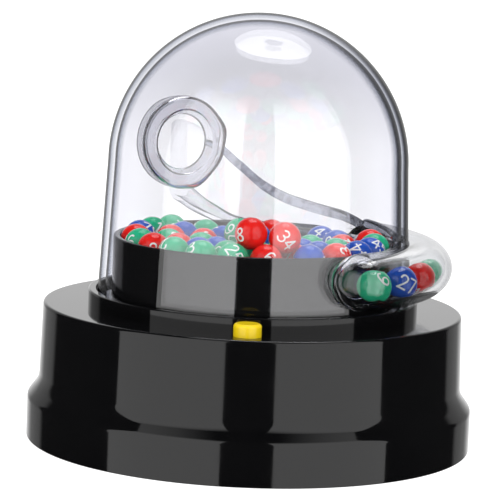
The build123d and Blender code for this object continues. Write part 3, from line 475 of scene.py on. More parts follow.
# a turn is (angle, inner, outer, floor, inner top, outer top), a run is (length, floor, inner top, outer top)
chute = {"inner": 27.7, "outer": 37.6, "wall": 1.5, "tangent": 78.0, "gap": 0.4, "corner": 2.0,
         "bead": 1.65, "beadTurns": (113, 103), "beadLeast": 0.02, "seenFrom": 131,
         "domeRoom": 0.1, "domeGap": 0.05, "stations": 150, "lipSteps": 9, "cornerSteps": 7, "beadSteps": 19,
         "turns": [(138, 32.2, 40.0, 69.5, 74.0, 84.0), (130, 32.0, 40.0, 67.5, 71.3, 90.0),
                   (122, 31.0, 40.0, 64.4, 67.8, 89.6), (114, 29.4, 39.4, 62.0, 65.2, 86.8),
                   (106, 28.3, 37.6, 60.2, 63.0, 82.4), (97, 27.7, 37.6, 58.8, 61.8, 77.4),
                   (88, 27.7, 37.6, 57.8, 61.2, 72.6), (78, 27.7, 37.6, 57.0, 60.6, 69.2)],
         "runs": [(6, 56.2, 60.2, 67.4), (12, 54.6, 59.8, 66.0), (18, 52.4, 59.4, 64.8),
                  (24, 50.8, 59.0, 63.6), (30, 49.8, 58.6, 62.2), (36, 49.2, 58.4, 60.4)]}
trench = {"blockFrom": 7, "blockTo": 34, "blockLow": 45.3, "blockHigh": 53.1, "blockSide": 2,
          "limitR": 41.0, "limitLow": 44.0, "limitHigh": 54.0, "limitSegments": 256,
          "end": 44, "top": 65.0}
tangent = math.radians(chute["tangent"])
chuteWay = np.array((math.sin(tangent), -math.cos(tangent), 0.0))
chuteSide = np.array((math.cos(tangent), math.sin(tangent), 0.0))


# a point u along the chute's straight part, v high and off to its side
def alongChute(u, v, off):
    return tuple(chuteWay * u + chuteSide * off + np.array((0, 0, v)))


w = bowl
underFloor, underEdge = w["floorZ"] - w["floorT"], w["edgeZ"] - w["floorT"]
bowlProfile = roundedProfile([
    (w["inR"], w["deckZ"], w["edge"]), (w["collarR"], w["deckZ"], 0),
    (w["collarR"], w["collarTop"], w["collarRound"]), (w["collarIn"], w["collarTop"], w["collarLip"]),
    (w["collarIn"], w["seatZ"], w["edge"]), (w["r"], w["seatZ"], w["edge"]),
    (w["r"], w["rimZ"], w["rimRound"]), (w["inR"], w["rimZ"], w["rimRound"]),
    (w["inR"], w["edgeZ"], w["floorEdge"]), (w["flatR"], w["floorZ"], w["floorBend"]),
    (w["bushR"], w["floorZ"], w["edge"]), (w["bushR"], w["bossZ"], w["edge"]),
    (w["bossR"], w["bossZ"], w["edge"]), (w["bossR"], underFloor, w["underEdge"]),
    (w["flatR"], underFloor, w["floorBend"]), (w["inR"], underEdge, w["underEdge"])])
bowlInsert = revolve("bowlInsert", bowlProfile, ["blackAbs"], segments=w["segments"])
drop = chute["wall"] + chute["gap"]
low, high = chute["inner"] - drop, chute["outer"] + drop
blockOutline = rectangle(trench["blockFrom"], trench["blockLow"], trench["blockTo"], trench["blockHigh"])
block = prism("trenchBlock", blockOutline, low - trench["blockSide"], high + trench["blockSide"], alongChute)
limitOutline = rectangle(0, trench["limitLow"], trench["limitR"], trench["limitHigh"])
blockLimit = revolve("blockLimit", np.array(limitOutline), [], closed=False, segments=trench["limitSegments"])
combine(block, blockLimit, "INTERSECT")
combine(bowlInsert, block, "UNION")
trenchLine = [(0, chute["turns"][-1][3] - drop)]
trenchLine += [(length, floorZ - drop) for length, floorZ, _, _ in chute["runs"]]
trenchEnd = [(trench["end"], trenchLine[-1][1]), (trench["end"], trench["top"]), (0, trench["top"])]
combine(bowlInsert, prism("trench", trenchLine + trenchEnd, low, high, alongChute), "DIFFERENCE")
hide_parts("bowl_insert")
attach(bowlInsert, "base")
print("bowl made")

# dome: a slightly tapered wall under a hemisphere, with the exit hole low at the back right
dome = {"lowR": 45.5, "topR": 43.65, "wall": 2.05, "seatZ": 41.6, "topZ": 81.4, "wallRows": 24,
        "crownRows": 72, "segments": 240, "holeFrom": 15, "holeTo": 50, "holeLow": 49.2, "holeHigh": 59.2}


# the dome's radius at height z: a cone up to the shoulder and a sphere above it
def domeRadius(z, inset=0.0):
    cone = dome["lowR"] + (dome["topR"] - dome["lowR"]) * (z - dome["seatZ"]) / (dome["topZ"] - dome["seatZ"])
    crown = np.sqrt(np.maximum((dome["topR"] - inset) ** 2 - (z - dome["topZ"]) ** 2, 0.0))
    return np.where(z < dome["topZ"], cone - inset, crown)


# points of the wall's profile from the seat up to the crown
def domeLine(inset):
    wallZ = np.linspace(dome["seatZ"], dome["topZ"], dome["wallRows"])[:-1]
    arc = np.linspace(0, math.pi / 2, dome["crownRows"])
    wall = np.stack([domeRadius(wallZ, inset), wallZ], axis=-1)
    cap = np.stack([np.cos(arc), np.sin(arc)], axis=-1) * (dome["topR"] - inset) + (0, dome["topZ"])
    cap[-1, 0] = 0.0
    return np.concatenate([wall, cap])


domeProfile = np.concatenate([domeLine(dome["wall"])[::-1], domeLine(0.0)])
domeShell = revolve("domeShell", domeProfile, ["clearDome"], closed=False, segments=dome["segments"],
                    sharp=meshCare["clearSharp"])
holeOutline = rectangle(dome["holeFrom"], dome["holeLow"], dome["holeTo"], dome["holeHigh"])
exitHole = prism("exitHole", holeOutline, chute["inner"], chute["outer"], alongChute)
combine(domeShell, exitHole, "DIFFERENCE", sharp=meshCare["clearSharp"])
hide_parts("dome_shell")
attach(domeShell, "dome")
print("dome made")

# exit tube: an elliptical bulge turned round the dome, closed by rounded ends; the dome is cut from it
tube = {"ringR": 48.5, "z": 53.2, "halfW": 9.2, "halfH": 8.1, "wall": 2.1, "front": -51.0, "back": 42.0,
        "rows": 41, "alongSteps": 90, "endSteps": 33, "domeGap": 0.04, "coneSegments": 300,
        "coneZ": (30.0, 44.0, 50.0, 56.0, 62.0, 75.0)}


# flat points of an arc round the upright axis
def flatArc(radius, angle):
    return np.stack([radius * np.cos(angle), radius * np.sin(angle)], axis=-1)


# for each height angle t the plan is a stadium bent round the axis, of half width W cos t, at the
# height H sin t; it runs along the outside, round the back end, along the inside and round the front end
def tubeBody(name, halfW, halfH, materials):
    t = np.linspace(-math.pi / 2, math.pi / 2, tube["rows"])[:, None]
    front, back = math.radians(tube["front"]), math.radians(tube["back"])
    along = np.linspace(0, 1, tube["alongSteps"])[None, :-1]
    turn = np.linspace(0, math.pi, tube["endSteps"])[None, :-1, None]
    half = halfW * np.cos(t)

    def roundEnd(angle, way):
        out = np.array((math.cos(angle), math.sin(angle)))
        ahead = np.array((-math.sin(angle), math.cos(angle)))
        return tube["ringR"] * out + half[..., None] * (np.cos(turn) * out + np.sin(turn) * ahead) * way

    plan = np.concatenate([flatArc(tube["ringR"] + half, front + (back - front) * along), roundEnd(back, 1),
                           flatArc(tube["ringR"] - half, back + (front - back) * along), roundEnd(front, -1)],
                          axis=1)
    height = tube["z"] + halfH * np.sin(t) + 0 * plan[..., 0]
    points = np.concatenate([plan, height[..., None]], axis=-1)
    return makePiece(name, points, gridFaces(points.shape[0], points.shape[1], False, True), materials)


exitTube = tubeBody("exitTube", tube["halfW"], tube["halfH"], ["clearTube"])
tubeRoom = tubeBody("tubeRoom", tube["halfW"] - tube["wall"], tube["halfH"] - tube["wall"], [])
combine(exitTube, tubeRoom, "DIFFERENCE")
coneZ = np.array(tube["coneZ"])
coneWall = np.stack([domeRadius(coneZ) + tube["domeGap"], coneZ], axis=-1)
cone = np.concatenate([[(0, coneZ[0])], coneWall, [(0, coneZ[-1])]])
domeCone = revolve("domeCone", cone, [], closed=False, segments=tube["coneSegments"])
combine(exitTube, domeCone, "DIFFERENCE")
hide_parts("exit_tube")
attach(exitTube, "dome")
print("tube made")


# values eased between keys by a monotone cubic, column by column
def smoothSteps(keys, values, at):
    keys, values = np.asarray(keys, dtype=float), np.asarray(values, dtype=float)
    slopes = np.gradient(values, keys, axis=0)
    k = np.clip(np.searchsorted(keys, at, side="right") - 1, 0, len(keys) - 2)
    span = (keys[k + 1] - keys[k])[:, None]
    s = (at[:, None] - keys[k][:, None]) / span
    return ((2 * s**3 - 3 * s**2 + 1) * values[k] + (s**3 - 2 * s**2 + s) * span * slopes[k]
            + (3 * s**2 - 2 * s**3) * values[k + 1] + (s**3 - s**2) * span * slopes[k + 1])


# the U section as (across, height): a rounded inner lip, rounded channel corners outside, a bead along
# the outer wall's top, and rounded channel corners inside
def chuteSection(inner, outer, floorZ, innerTop, outerTop, bead):
    t, corner = chute["wall"], chute["corner"]
    quarter = np.linspace(0, math.pi / 2, chute["cornerSteps"])
    lip = np.linspace(0, math.pi, chute["lipSteps"])
    under = math.acos(min(1.0, t / 2 / bead))
    beadTurn = np.linspace(-under, math.pi + under, chute["beadSteps"])
    sin, cos = np.sin, np.cos
    across = [inner - t / 2 + t / 2 * cos(lip), inner + corner - (corner + t) * cos(quarter),
              outer - corner + (corner + t) * sin(quarter), outer + t / 2 + bead * cos(beadTurn),
              outer - corner + corner * cos(quarter), inner + corner - corner * sin(quarter)]
    height = [innerTop - t / 2 + t / 2 * sin(lip), floorZ + corner - (corner + t) * sin(quarter),
              floorZ + corner - (corner + t) * cos(quarter), outerTop - bead + bead * sin(beadTurn),
              floorZ + corner - corner * sin(quarter), floorZ + corner - corner * cos(quarter)]
    return np.stack([np.concatenate(across), np.concatenate(height)], axis=-1)


turnMiddle = (chute["inner"] + chute["outer"]) / 2


# the distance run along the middle of the channel at an angle of the turn; it is 0 where the turn ends
def turnRun(angle):
    return -math.radians(angle - chute["tangent"]) * turnMiddle


# chute: stations by the distance run; the ring hides what lies before the first
stations = [turnRun(row[0]) for row in chute["turns"]] + [row[0] for row in chute["runs"]]
rows = [row[1:] for row in chute["turns"]]
rows += [(chute["inner"], chute["outer"]) + row[1:] for row in chute["runs"]]
walk = np.linspace(turnRun(chute["seenFrom"]), stations[-1], chute["stations"])
beadFrom, beadTo = (turnRun(angle) for angle in chute["beadTurns"])
thin = chute["wall"] / 2
sections = []
for distance, row in zip(walk, smoothSteps(stations, rows, walk)):
    inner, outer, floorZ, innerTop, outerTop = row
    grown = min(max((distance - beadFrom) / (beadTo - beadFrom), 0), 1)
    bead = thin + chute["beadLeast"] + (chute["bead"] - thin) * eased(grown)
    if distance < 0:
        room = float(domeRadius(np.array(outerTop - bead), dome["wall"])) - bead - thin - chute["domeRoom"]
        outer = min(outer, room)
    section = chuteSection(inner, outer, floorZ, innerTop, outerTop, bead)
    if distance < 0:
        angle = tangent - distance / turnMiddle
        spot = section[:, :1] * np.array((math.cos(angle), math.sin(angle), 0.0))
    else:
        spot = section[:, :1] * chuteSide + chuteWay * distance
    spot[:, 2] = section[:, 1]
    sections.append(spot)
chutePoints = np.array(sections)
reach = np.hypot(chutePoints[..., 0], chutePoints[..., 1])
limit = domeRadius(chutePoints[..., 2], dome["wall"]) - chute["domeGap"]
chutePoints[..., :2] *= np.minimum(1.0, limit / reach)[..., None]
count = chutePoints.shape[1]
chuteFaces = gridFaces(len(walk), count, False, True).tolist() + endFaces(len(walk), count)
# the bead faces past the bead's start get the rail's finish, painted darker (painted shade); the inner lip
# gets the ring's
beadStart = chute["lipSteps"] + 2 * chute["cornerSteps"]
column = np.tile(np.arange(count), len(walk) - 1)
pastBead = np.repeat(walk[:-1] > beadFrom, count)
marks = (pastBead & (column >= beadStart) & (column < beadStart + chute["beadSteps"] - 1)).astype(int)
marks[column < chute["lipSteps"] - 1] = 2
chuteChannel = makePiece("chuteChannel", chutePoints, chuteFaces, ["clearDome", "clearRailPaintedShade", "clearRing"],
                         marks.tolist() + [0, 0], sharp=meshCare["clearSharp"])
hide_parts("chute_channel")
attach(chuteChannel, "dome")

# rail tail: the rail runs on along the dome's inside to the exit, a rod that tapers at both ends
tail = {"from": 38.0, "to": 2.0, "high": 62.2, "low": 60.6, "r": 1.35, "gap": 0.05, "steps": 40, "sides": 20,
        "taper": 16}
share = np.linspace(0, 1, tail["steps"])[:, None]
turn = np.radians(tail["from"] + (tail["to"] - tail["from"]) * share)
middleZ = tail["high"] + (tail["low"] - tail["high"]) * share
middleR = domeRadius(middleZ, dome["wall"]) - tail["r"] - tail["gap"]
rodR = tail["r"] * np.sqrt(np.clip(1 - (2 * share - 1) ** tail["taper"], 0.0, 1.0))
across = np.linspace(0, 2 * math.pi, tail["sides"], endpoint=False)[None, :]
tailR = middleR + rodR * np.cos(across)
tailPoints = np.stack([tailR * np.cos(turn), tailR * np.sin(turn), middleZ + rodR * np.sin(across)], axis=-1)
tailFaces = gridFaces(tail["steps"], tail["sides"], False, True)
# the tail has the rail's finish, painted darker (painted shade)
railTail = makePiece("railTail", tailPoints, tailFaces, ["clearRailPaintedShade"])
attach(railTail, "dome")
print("chute made")

# entry ring: a thick rounded ring whose left half runs back as a hood; its outline is the front corners,
# then points (in from the rim, deep, share of the hood's reach) and (out from the bore, deep)
ring = {"x": -21.6, "y": 17.9, "z": 84.9, "turn": -58.1, "r": 13.7, "mouthR": 9.8, "boreR": 8.1, "len": 4.0,
        "hood": 6.1, "hoodLeast": 0.05, "hoodFrom": 0.05, "hoodBlend": 0.5, "segments": 180,
        "mouthRound": 0.9, "rimRound": 1.4, "frontDeep": 2.2, "frontBack": (0.3, 2.4), "frontEnd": 2.15,
        "rim": ((0.0, 2.2, 0.0), (0.0, 3.0, 0.35), (0.0, 4.0, 0.9), (0.15, 4.0, 1.0), (1.1, 4.0, 1.0),
                (1.2, 4.0, 0.9), (1.4, 4.0, 0.0)),
        "bore": ((0.9, 4.0), (0.3, 3.8), (0.0, 3.3), (0.15, 2.8)),
        # mould lumps on the rim: (where, how tall, how many degrees wide)
        "lumps": ((14.0, 1.0, 16.0), (-20.0, 0.4, 16.0), (-70.0, 0.8, 16.0), (-100.0, 0.4, 14.0)),
        "lumpsFromR": 12.3, "edgeShare": 0.9, "edgeLeft": 0.25}
ringTurn = math.radians(ring["turn"])
ringWay = np.array((math.cos(ringTurn), math.sin(ringTurn), 0.0))
ringRight = np.array((-ringWay[1], ringWay[0], 0.0))
ringUp = np.array((0.0, 0.0, 1.0))
ringCentre = np.array((ring["x"], ring["y"], ring["z"]))
around = np.linspace(0, 2 * math.pi, ring["segments"], endpoint=False)
left = np.clip((-np.cos(around) - ring["hoodFrom"]) / ring["hoodBlend"], 0, 1)
hoodReach = ring["hoodLeast"] + (ring["hood"] - ring["len"]) * eased(left)
front = roundedProfile([(ring["mouthR"], 0.0, ring["mouthRound"]), (ring["r"], 0.0, ring["rimRound"]),
                        (ring["r"], ring["frontDeep"], 0),
                        (ring["boreR"] + ring["frontBack"][0], ring["frontBack"][1], 0)])
# known fault: the front runs from the rim to the mouth, so the outline crosses itself once
front = front[front[:, 1] < ring["frontEnd"]][::-1]
line = np.array([(r, deep, 0.0) for r, deep in front]
                + [(ring["r"] - inwards, deep, part) for inwards, deep, part in ring["rim"]]
                + [(ring["boreR"] + outwards, deep, 0.0) for outwards, deep in ring["bore"]])
lineR, lineD, share = line.T
lumps = sum(tall * np.exp(-((np.degrees(np.angle(np.exp(1j * (around - math.radians(spot))))) / wide) ** 2))
            for spot, tall, wide in ring["lumps"])
depth = lineD + share * hoodReach[:, None]
lumpyR = lineR + lumps[:, None] * np.clip(lineR - ring["lumpsFromR"], 0, 1)
spoke = np.cos(around)[:, None] * ringRight + np.sin(around)[:, None] * ringUp
ringPoints = ringCentre - ringWay * depth[..., None] + lumpyR[..., None] * spoke[:, None, :]
# the faces along the hood's free edge get the lip's finish, painted dark (painted shade)
edgeColumn = (share >= ring["edgeShare"]) & (np.roll(share, -1) >= ring["edgeShare"])
paintedDarkLipFaces = (left[:, None] > ring["edgeLeft"]) & edgeColumn
entryRing = makePiece("entryRing", ringPoints, gridFaces(ring["segments"], len(line), True, True),
                      ["clearRing", "clearLipPaintedDark"], paintedDarkLipFaces.astype(int).ravel(), sharp=meshCare["clearSharp"])
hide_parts("entry_ring")
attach(entryRing, "dome")
print("ring made")

# balls: each a sphere with thin printed figures on two sides
ball = {"r": 4.6, "figureH": 3.5, "figureW": 0.46, "inkT": 0.03, "pitch": 0.78, "rows": 33, "columns": 64,
        "strokeSteps": 14, "curveSteps": 8}
strokeEnd = {"reach": 0.2, "at": (0.0, 0.6, 0.9), "width": (0.35, 0.8, 1.0)}  # how a stroke rounds off
figures = {
    "0": [[(0.0, 0.5), (-0.22, 0.36), (-0.29, 0.0), (-0.22, -0.36), (0.0, -0.5), (0.22, -0.36), (0.29, 0.0),
           (0.22, 0.36), (0.0, 0.5)]],
    "1": [[(-0.14, 0.28), (0.06, 0.5)], [(0.06, 0.5), (0.06, -0.5)]],
    "2": [[(-0.26, 0.28), (-0.14, 0.46), (0.06, 0.5), (0.24, 0.36), (0.22, 0.14), (0.0, -0.16),
           (-0.28, -0.5)],
          [(-0.28, -0.5), (0.3, -0.5)]],
    "3": [[(-0.25, 0.36), (-0.06, 0.5), (0.18, 0.44), (0.24, 0.26), (0.14, 0.08), (-0.06, 0.03)],
          [(-0.06, 0.03), (0.18, -0.02), (0.28, -0.22), (0.18, -0.43), (-0.06, -0.5), (-0.28, -0.38)]],
    "4": [[(0.12, 0.5), (-0.3, -0.18)], [(-0.3, -0.18), (0.3, -0.18)], [(0.12, 0.5), (0.12, -0.5)]],
    "5": [[(0.25, 0.5), (-0.18, 0.5)], [(-0.18, 0.5), (-0.23, 0.06)],
          [(-0.23, 0.06), (0.02, 0.15), (0.24, 0.02), (0.27, -0.22), (0.1, -0.46), (-0.12, -0.5),
           (-0.28, -0.38)]],
    "6": [[(0.2, 0.44), (0.02, 0.5), (-0.18, 0.34), (-0.27, 0.0), (-0.24, -0.3), (-0.06, -0.49),
           (0.16, -0.45), (0.27, -0.24), (0.18, -0.02), (-0.02, 0.04), (-0.22, -0.1)]],
    "7": [[(-0.28, 0.5), (0.28, 0.5)], [(0.28, 0.5), (0.08, 0.1), (-0.06, -0.5)]],
    "8": [[(0.0, 0.02), (0.22, 0.2), (0.17, 0.43), (0.0, 0.5), (-0.17, 0.43), (-0.22, 0.2), (0.0, 0.02),
           (0.26, -0.2), (0.2, -0.44), (0.0, -0.5), (-0.2, -0.44), (-0.26, -0.2), (0.0, 0.02)]],
    "9": [[(-0.2, -0.44), (-0.02, -0.5), (0.18, -0.34), (0.27, 0.0), (0.24, 0.3), (0.06, 0.49), (-0.16, 0.45),
           (-0.27, 0.24), (-0.18, 0.02), (0.02, -0.04), (0.22, 0.1)]],
}


# a curve through the points, by the Catmull-Rom rule
def smoothLine(points):
    p = np.array(points, dtype=float)
    p = np.concatenate([[2 * p[0] - p[1]], p, [2 * p[-1] - p[-2]]])
    t = np.linspace(0, 1, ball["curveSteps"], endpoint=False)[:, None]
    spans = [0.5 * (2 * b + (c - a) * t + (2 * a - 5 * b + 4 * c - d) * t**2 + (3 * b - a - 3 * c + d) * t**3)
             for a, b, c, d in zip(p, p[1:], p[2:], p[3:])]
    return np.concatenate(spans + [p[-2:-1]])


# a stroke as a thin closed band on the ball: its plane point (x, y) goes to the ball's surface above it,
# then turn and centre place it
def inkStroke(line, turn, centre):
    way = np.gradient(line, axis=0)
    way /= np.linalg.norm(way, axis=1)[:, None]
    aside = np.stack([-way[:, 1], way[:, 0]], axis=-1)
    reach = (1 - np.array(strokeEnd["at"]))[:, None] * strokeEnd["reach"]
    line = np.concatenate([line[0] - way[0] * reach, line[1:-1], line[-1] + way[-1] * reach[::-1]])
    aside = np.concatenate([[aside[0]] * 3, aside[1:-1], [aside[-1]] * 3])
    width = np.ones(len(line))
    width[:3] = strokeEnd["width"]
    width[-3:] = strokeEnd["width"][::-1]
    half = aside * (width * ball["figureW"] / 2)[:, None]
    loops = []
    for flat, lift in ((line - half, -1), (line - half, 1), (line, 1), (line + half, 1), (line + half, -1)):
        up = np.sqrt(ball["r"] ** 2 - (flat**2).sum(axis=1))
        solid = np.concatenate([flat, up[:, None]], axis=1) / ball["r"]
        loops.append(solid * (ball["r"] + lift * ball["inkT"]))
    points = np.stack(loops, axis=1) @ np.array(turn).T + centre
    rows, columns = points.shape[:2]
    return points.reshape(-1, 3), gridFaces(rows, columns, False, True).tolist() + endFaces(rows, columns)


# a sphere: x = r sin t cos a, y = r sin t sin a, z = r cos t
def ballBody():
    t = np.linspace(0, math.pi, ball["rows"])[:, None]
    a = np.linspace(0, 2 * math.pi, ball["columns"], endpoint=False)[None, :]
    points = np.stack([np.sin(t) * np.cos(a), np.sin(t) * np.sin(a), np.cos(t) + 0 * a], axis=-1) * ball["r"]
    return points.reshape(-1, 3), gridFaces(ball["rows"], ball["columns"], False, True).tolist()


nearlyUp = 0.99  # past this, a direction's height leaves no side to turn about


# the rotation that brings the figures' own +Z to a direction, with their +Y up, then rolls them
def facingTurn(direction, roll):
    z = Vector(direction).normalized()
    x = Vector((0, 0, 1)).cross(z).normalized() if abs(z.z) < nearlyUp else Vector((1, 0, 0))
    y = z.cross(x)
    return Matrix((x, y, z)).transposed() @ Matrix.Rotation(math.radians(roll), 3, "Z")


# balls of one colour; labels give (figures, direction, roll) for each
def makeBalls(name, colour, centres, labels):
    points, faces, marks, start = [], [], [], 0
    for centre, prints in zip(centres, labels):
        body, bodyFaces = ballBody()
        points.append(body + centre)
        faces += [[v + start for v in f] for f in bodyFaces]
        marks += [0] * len(bodyFaces)
        start += len(body)
        for text, direction, roll in prints:
            turn = facingTurn(direction, roll)
            for k, letter in enumerate(text):
                shift = (k - (len(text) - 1) / 2) * ball["pitch"] * ball["figureH"]
                for stroke in figures[letter]:
                    if len(stroke) > 2:
                        line = smoothLine(stroke)
                    else:
                        line = np.linspace(stroke[0], stroke[1], ball["strokeSteps"])
                    ink, inkFaces = inkStroke(line * ball["figureH"] + (shift, 0), turn, centre)
                    points.append(ink)
                    faces += [[v + start for v in f] for f in inkFaces]
                    marks += [1] * len(inkFaces)
                    start += len(ink)
    return makePiece(name, np.concatenate(points), faces, [colour, "whiteInk"], marks,
                     sharp=meshCare["ballSharp"])


# the middles of a node's separate solids, in millimetres, from a merged copy of its mesh
def solidCentres(node):
    work = bmesh.new()
    work.from_mesh(nodes[node].data)
    bmesh.ops.remove_doubles(work, verts=work.verts, dist=meshCare["nodeMerge"])
    unseen, centres = set(work.verts), []
    while unseen:
        group, queue = [], [unseen.pop()]
        while queue:
            vert = queue.pop()
            group.append(vert.co)
            for e in vert.link_edges:
                other = e.other_vert(vert)
                if other in unseen:
                    unseen.discard(other)
                    queue.append(other)
        cloud = np.array([tuple(c) for c in group]) / mm
        centres.append((cloud.min(axis=0) + cloud.max(axis=0)) / 2)
    work.free()
    return sorted(centres, key=lambda c: (round(c[0], 2), round(c[1], 2), round(c[2], 2)))


# figures that show plainly in the photograph: (where the ball is, figures, direction, roll)
plainPrints = [
    ((11.0, -30.0, 62.5), "34", (0.1, -1.0, 0.0), -52),
    ((-1.0, -33.0, 62.5), "8", (-0.75, -0.8, 0.0), 10),
]
seededTurn = {"spread": 80, "tilt": (-0.3, 0.7), "sameBall": 5.0}
colours = {"red": ("redBall", "red_plastic"), "green": ("greenBall", "green_plastic"),
           "blue": ("blueBall", "blue_plastic")}
number = 1
for colour, (finish, slotName) in colours.items():
    centres = solidCentres("balls_" + colour)
    labels = []
    for centre in centres:
        near = [p for p in plainPrints if np.linalg.norm(centre - np.array(p[0])) < seededTurn["sameBall"]]
        if near and colour == "red":
            first = near[0][1:]
        else:
            spread = math.radians(random.uniform(-seededTurn["spread"], seededTurn["spread"]))
            tilt = random.uniform(*seededTurn["tilt"])
            first = (str(number), (math.sin(spread), -math.cos(spread), tilt), random.uniform(0, 360))
        second = (first[0], tuple(-v for v in first[1]), random.uniform(0, 360))
        labels.append([first, second])
        number += 1
    balls = makeBalls("balls" + colour.capitalize(), finish, centres, labels)
    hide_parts("balls_" + colour)
    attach(balls, "base")

# the four drawn balls, from the front of the tube to the back
drawn = [("green", "6", (0.75, -1.0, 0.85), 30), ("blue", "27", (0.45, -1.0, 0.1), -25),
         ("red", "19", (0.3, -0.5, -0.8), 15), ("green", "43", (1.0, 0.2, 0.2), 60)]
drawnBackRoll = 70  # how far the number on a ball's back is rolled from the one in front
drawnCentres = sorted(solidCentres("drawn_balls"), key=lambda c: c[1])
for k, (centre, (colour, text, direction, roll)) in enumerate(zip(drawnCentres, drawn)):
    finish, slotName = colours[colour]
    prints = [(text, direction, roll), (text, tuple(-v for v in direction), roll + drawnBackRoll)]
    single = makeBalls("drawnBall" + str(k + 1), finish, [centre], [prints])
    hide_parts("drawn_balls")
    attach(single, "drawn_balls")
print("balls made")

# finishes of the CAD pieces that stay
keptFinishes = {
    "grainedAbs": ["base_plate", "battery_door", "motor_bracket", "stirrer_paddle", "switch_body"],
    "whiteAcetal": ["drive_gear", "motor_pinion", "switch_plunger"],
    "zincPlate": ["bowl_screws", "motor_can", "motor_screws", "bracket_screws", "contact_plates",
                  "board_screws", "stirrer_shaft", "motor_shaft"],
    "blackOxide": ["base_screws"],
    "sinteredBronze": ["shaft_bush"],
    "springWire": ["contact_springs", "button_spring"],
    "solderMask": ["switch_board"],
    "cellSleeve": ["battery_cell_front", "battery_cell_rear"],
    "redVinyl": ["battery_lead", "motor_lead"],
    "blackVinyl": ["return_lead"],
}
for finish, names in keptFinishes.items():
    for name in names:
        mesh = nodes[name].data
        mesh.materials.clear()
        mesh.materials.append(finishes[finish])

# return spring: it stands on the switch; on the machine it gets shorter as the button goes down, here it is a
# merged copy fixed to the base
springMesh = nodes["button_spring"].data.copy()
work = bmesh.new()
work.from_mesh(springMesh)
bmesh.ops.remove_doubles(work, verts=work.verts, dist=meshCare["nodeMerge"])
work.to_mesh(springMesh)
work.free()
returnSpring = showMesh("returnSpring", springMesh)
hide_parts("button_spring")
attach(returnSpring, "base")
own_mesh(returnSpring)
print("CAD pieces finished")

# studio: a white backdrop behind the machine for gloss and clear plastic, and dark flanks between
# the backdrop and the soft boxes; each level is set by the cosine to the +Y way
studio = {"backdrop": ((0.0, 0.02), (0.66, 0.02), (0.72, 0.30), (0.88, 0.34), (0.97, 1.0)), "soft": 0.95,
          "backdropTop": (0.55, 0.8), "backdropLeast": 0.12, "bentCos": (0.55, 0.85), "bentDark": 0.03,
          "bentFloor": 1.2, "bentWorld": 1.0, "floorPaint": (0.92, 0.92, 0.92, 1), "floorGlow": 1.55,
          "glowShare": 0.62, "floorHalf": 6}  # the floor's half width is in metres
white = (1, 1, 1, 1)


# the cosine between the +Y way and the flat way to a point
def northCosine(tree):
    way = ownSpace(tree)
    flatY = addNode(tree, "Math", links={0: way["Y"], 1: way["Y"]}, operation="MULTIPLY")
    flatXY = addNode(tree, "Math", links={0: way["X"], 1: way["X"], 2: flatY.outputs[0]},
                     operation="MULTIPLY_ADD")
    flat = addNode(tree, "Math", {1: 0.5}, {0: flatXY.outputs[0]}, operation="POWER")
    return addNode(tree, "Math", links={0: way["Y"], 1: flat.outputs[0]}, operation="DIVIDE").outputs[0]


# what bent light finds: dark flanks, and bright towards +Y
def bentLevel(tree, north, bright):
    sweep = addNode(tree, "MapRange", {"From Min": studio["bentCos"][0], "From Max": studio["bentCos"][1],
                                       "To Min": studio["bentDark"], "To Max": bright}, {"Value": north})
    return sweep.outputs["Result"]


# floor: pale and plain; mirrors in the machine look past it to the lamps
floorMaterial, tree, output = startMaterial("paleFloor")
rays = addNode(tree, "LightPath").outputs
paint = addNode(tree, "BsdfDiffuse", {"Color": studio["floorPaint"]})
glow = addNode(tree, "Emission", {"Color": white, "Strength": studio["floorGlow"]})
seen = addNode(tree, "MixShader", {0: studio["glowShare"]}, {1: paint.outputs[0], 2: glow.outputs[0]})
bent = addNode(tree, "Emission", {"Color": white},
               {"Strength": bentLevel(tree, northCosine(tree), studio["bentFloor"])})
clear = addNode(tree, "BsdfTransparent", {"Color": white})
surface = paint
for ray, shader in (("Is Camera Ray", seen), ("Is Transmission Ray", bent), ("Is Glossy Ray", clear)):
    surface = addNode(tree, "MixShader", links={0: rays[ray], 1: surface.outputs[0], 2: shader.outputs[0]})
tree.links.new(surface.outputs[0], output.inputs["Surface"])
half = studio["floorHalf"]
floorMesh = bpy.data.meshes.new("floor")
floorCorners = [(-half, -half, 0), (half, -half, 0), (half, half, 0), (-half, half, 0)]
floorMesh.from_pydata(floorCorners, [], [(0, 1, 2, 3)])
floorMesh.materials.append(floorMaterial)
floor = showMesh("floor", floorMesh)

# world: white where the camera looks
world = bpy.data.worlds.new("studio")
bpy.context.scene.world = world
world.use_nodes = True
tree = world.node_tree
tree.nodes.clear()
output = addNode(tree, "OutputWorld")
rays = addNode(tree, "LightPath").outputs
north = northCosine(tree)
below = addNode(tree, "MapRange", {"From Min": studio["backdropTop"][0], "From Max": studio["backdropTop"][1],
                                   "To Min": 1.0, "To Max": studio["backdropLeast"]},
                {"Value": ownSpace(tree)["Z"]})
backdrop = addNode(tree, "Math", links={0: facingRamp(tree, north, studio["backdrop"]),
                                        1: below.outputs["Result"]}, operation="MULTIPLY").outputs[0]
level = addNode(tree, "Mix", {"A": studio["soft"], "B": 1.0}, {"Factor": rays["Is Camera Ray"]},
                data_type="FLOAT")
bent = bentLevel(tree, north, studio["bentWorld"])
for ray, source in (("Is Glossy Ray", backdrop), ("Is Transmission Ray", bent)):
    level = addNode(tree, "Mix", links={"Factor": rays[ray], "A": level.outputs["Result"], "B": source},
                    data_type="FLOAT")
sky = addNode(tree, "Background", {"Color": white}, {"Strength": level.outputs["Result"]})
tree.links.new(sky.outputs[0], output.inputs["Surface"])

# lamps: two tall soft boxes beside the camera and a round one overhead with a dark hub, in metres
lamps = {"boxAngle": 43.0, "boxFar": 1.1, "boxWide": 1.27, "boxTall": 3.6, "boxMiddle": 0.8, "level": 1.25,
         "boxFade": (0.95, 1.95), "overheadAt": (0.09, 0.36, 1.12), "overheadAim": (0, 0, 0.1),
         "overheadWide": 0.71, "overheadLevel": 3.2, "hubR": 0.08, "hubSides": 48, "hubDrop": 0.02}


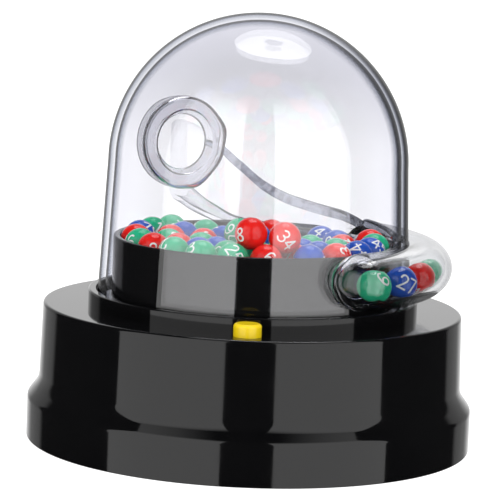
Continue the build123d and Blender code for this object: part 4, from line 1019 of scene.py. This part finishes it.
# an area lamp whose face is as bright as level, whatever its size; it can fade between two heights
def areaLamp(name, place, target, wide, tall, level, shape="RECTANGLE", fade=None):
    data = bpy.data.lights.new(name, "AREA")
    data.shape = shape
    data.size = wide
    area = wide * tall
    if shape == "RECTANGLE":
        data.size_y = tall
    else:
        area = math.pi * wide * wide / 4
    data.energy = level * math.pi * area
    if fade:
        data.use_nodes = True
        tree = data.node_tree
        tree.nodes.clear()
        spot = addNode(tree, "NewGeometry")
        split = addNode(tree, "SeparateXYZ", links={"Vector": spot.outputs["Position"]})
        falling = addNode(tree, "MapRange",
                          {"From Min": fade[0], "From Max": fade[1], "To Min": 1.0, "To Max": 0.0},
                          {"Value": split.outputs["Z"]}, interpolation_type="SMOOTHSTEP")
        shine = addNode(tree, "Emission", links={"Strength": falling.outputs["Result"]})
        tree.links.new(shine.outputs[0], addNode(tree, "OutputLight").inputs["Surface"])
    lamp = bpy.data.objects.new(name, data)
    bpy.context.scene.collection.objects.link(lamp)
    aimAt = (Vector(target) - Vector(place)).to_track_quat("-Z", "Y")
    lamp.matrix_world = Matrix.Translation(place) @ aimAt.to_matrix().to_4x4()
    lamp.visible_camera = False


for side in (-1, 1):
    angle = math.radians(lamps["boxAngle"])
    spot = (side * math.sin(angle) * lamps["boxFar"], -math.cos(angle) * lamps["boxFar"], lamps["boxMiddle"])
    name = "softBox" + ("Left" if side < 0 else "Right")
    areaLamp(name, spot, (0, 0, lamps["boxMiddle"]), lamps["boxWide"], lamps["boxTall"], lamps["level"],
             fade=lamps["boxFade"])
areaLamp("overhead", lamps["overheadAt"], lamps["overheadAim"], lamps["overheadWide"], lamps["overheadWide"],
         lamps["overheadLevel"], "DISK")
turn = np.linspace(0, 2 * math.pi, lamps["hubSides"], endpoint=False)
hubMesh = bpy.data.meshes.new("overheadHub")
hubMesh.from_pydata([(lamps["hubR"] * math.cos(a), lamps["hubR"] * math.sin(a), 0) for a in turn], [],
                    [tuple(range(len(turn)))])
hubMesh.materials.append(finishes["grainedAbs"])
hub = showMesh("overheadHub", hubMesh)
hub.location = Vector(lamps["overheadAt"]) - Vector((0.0, 0.0, lamps["hubDrop"]))
hub.visible_shadow = False
print("studio set")
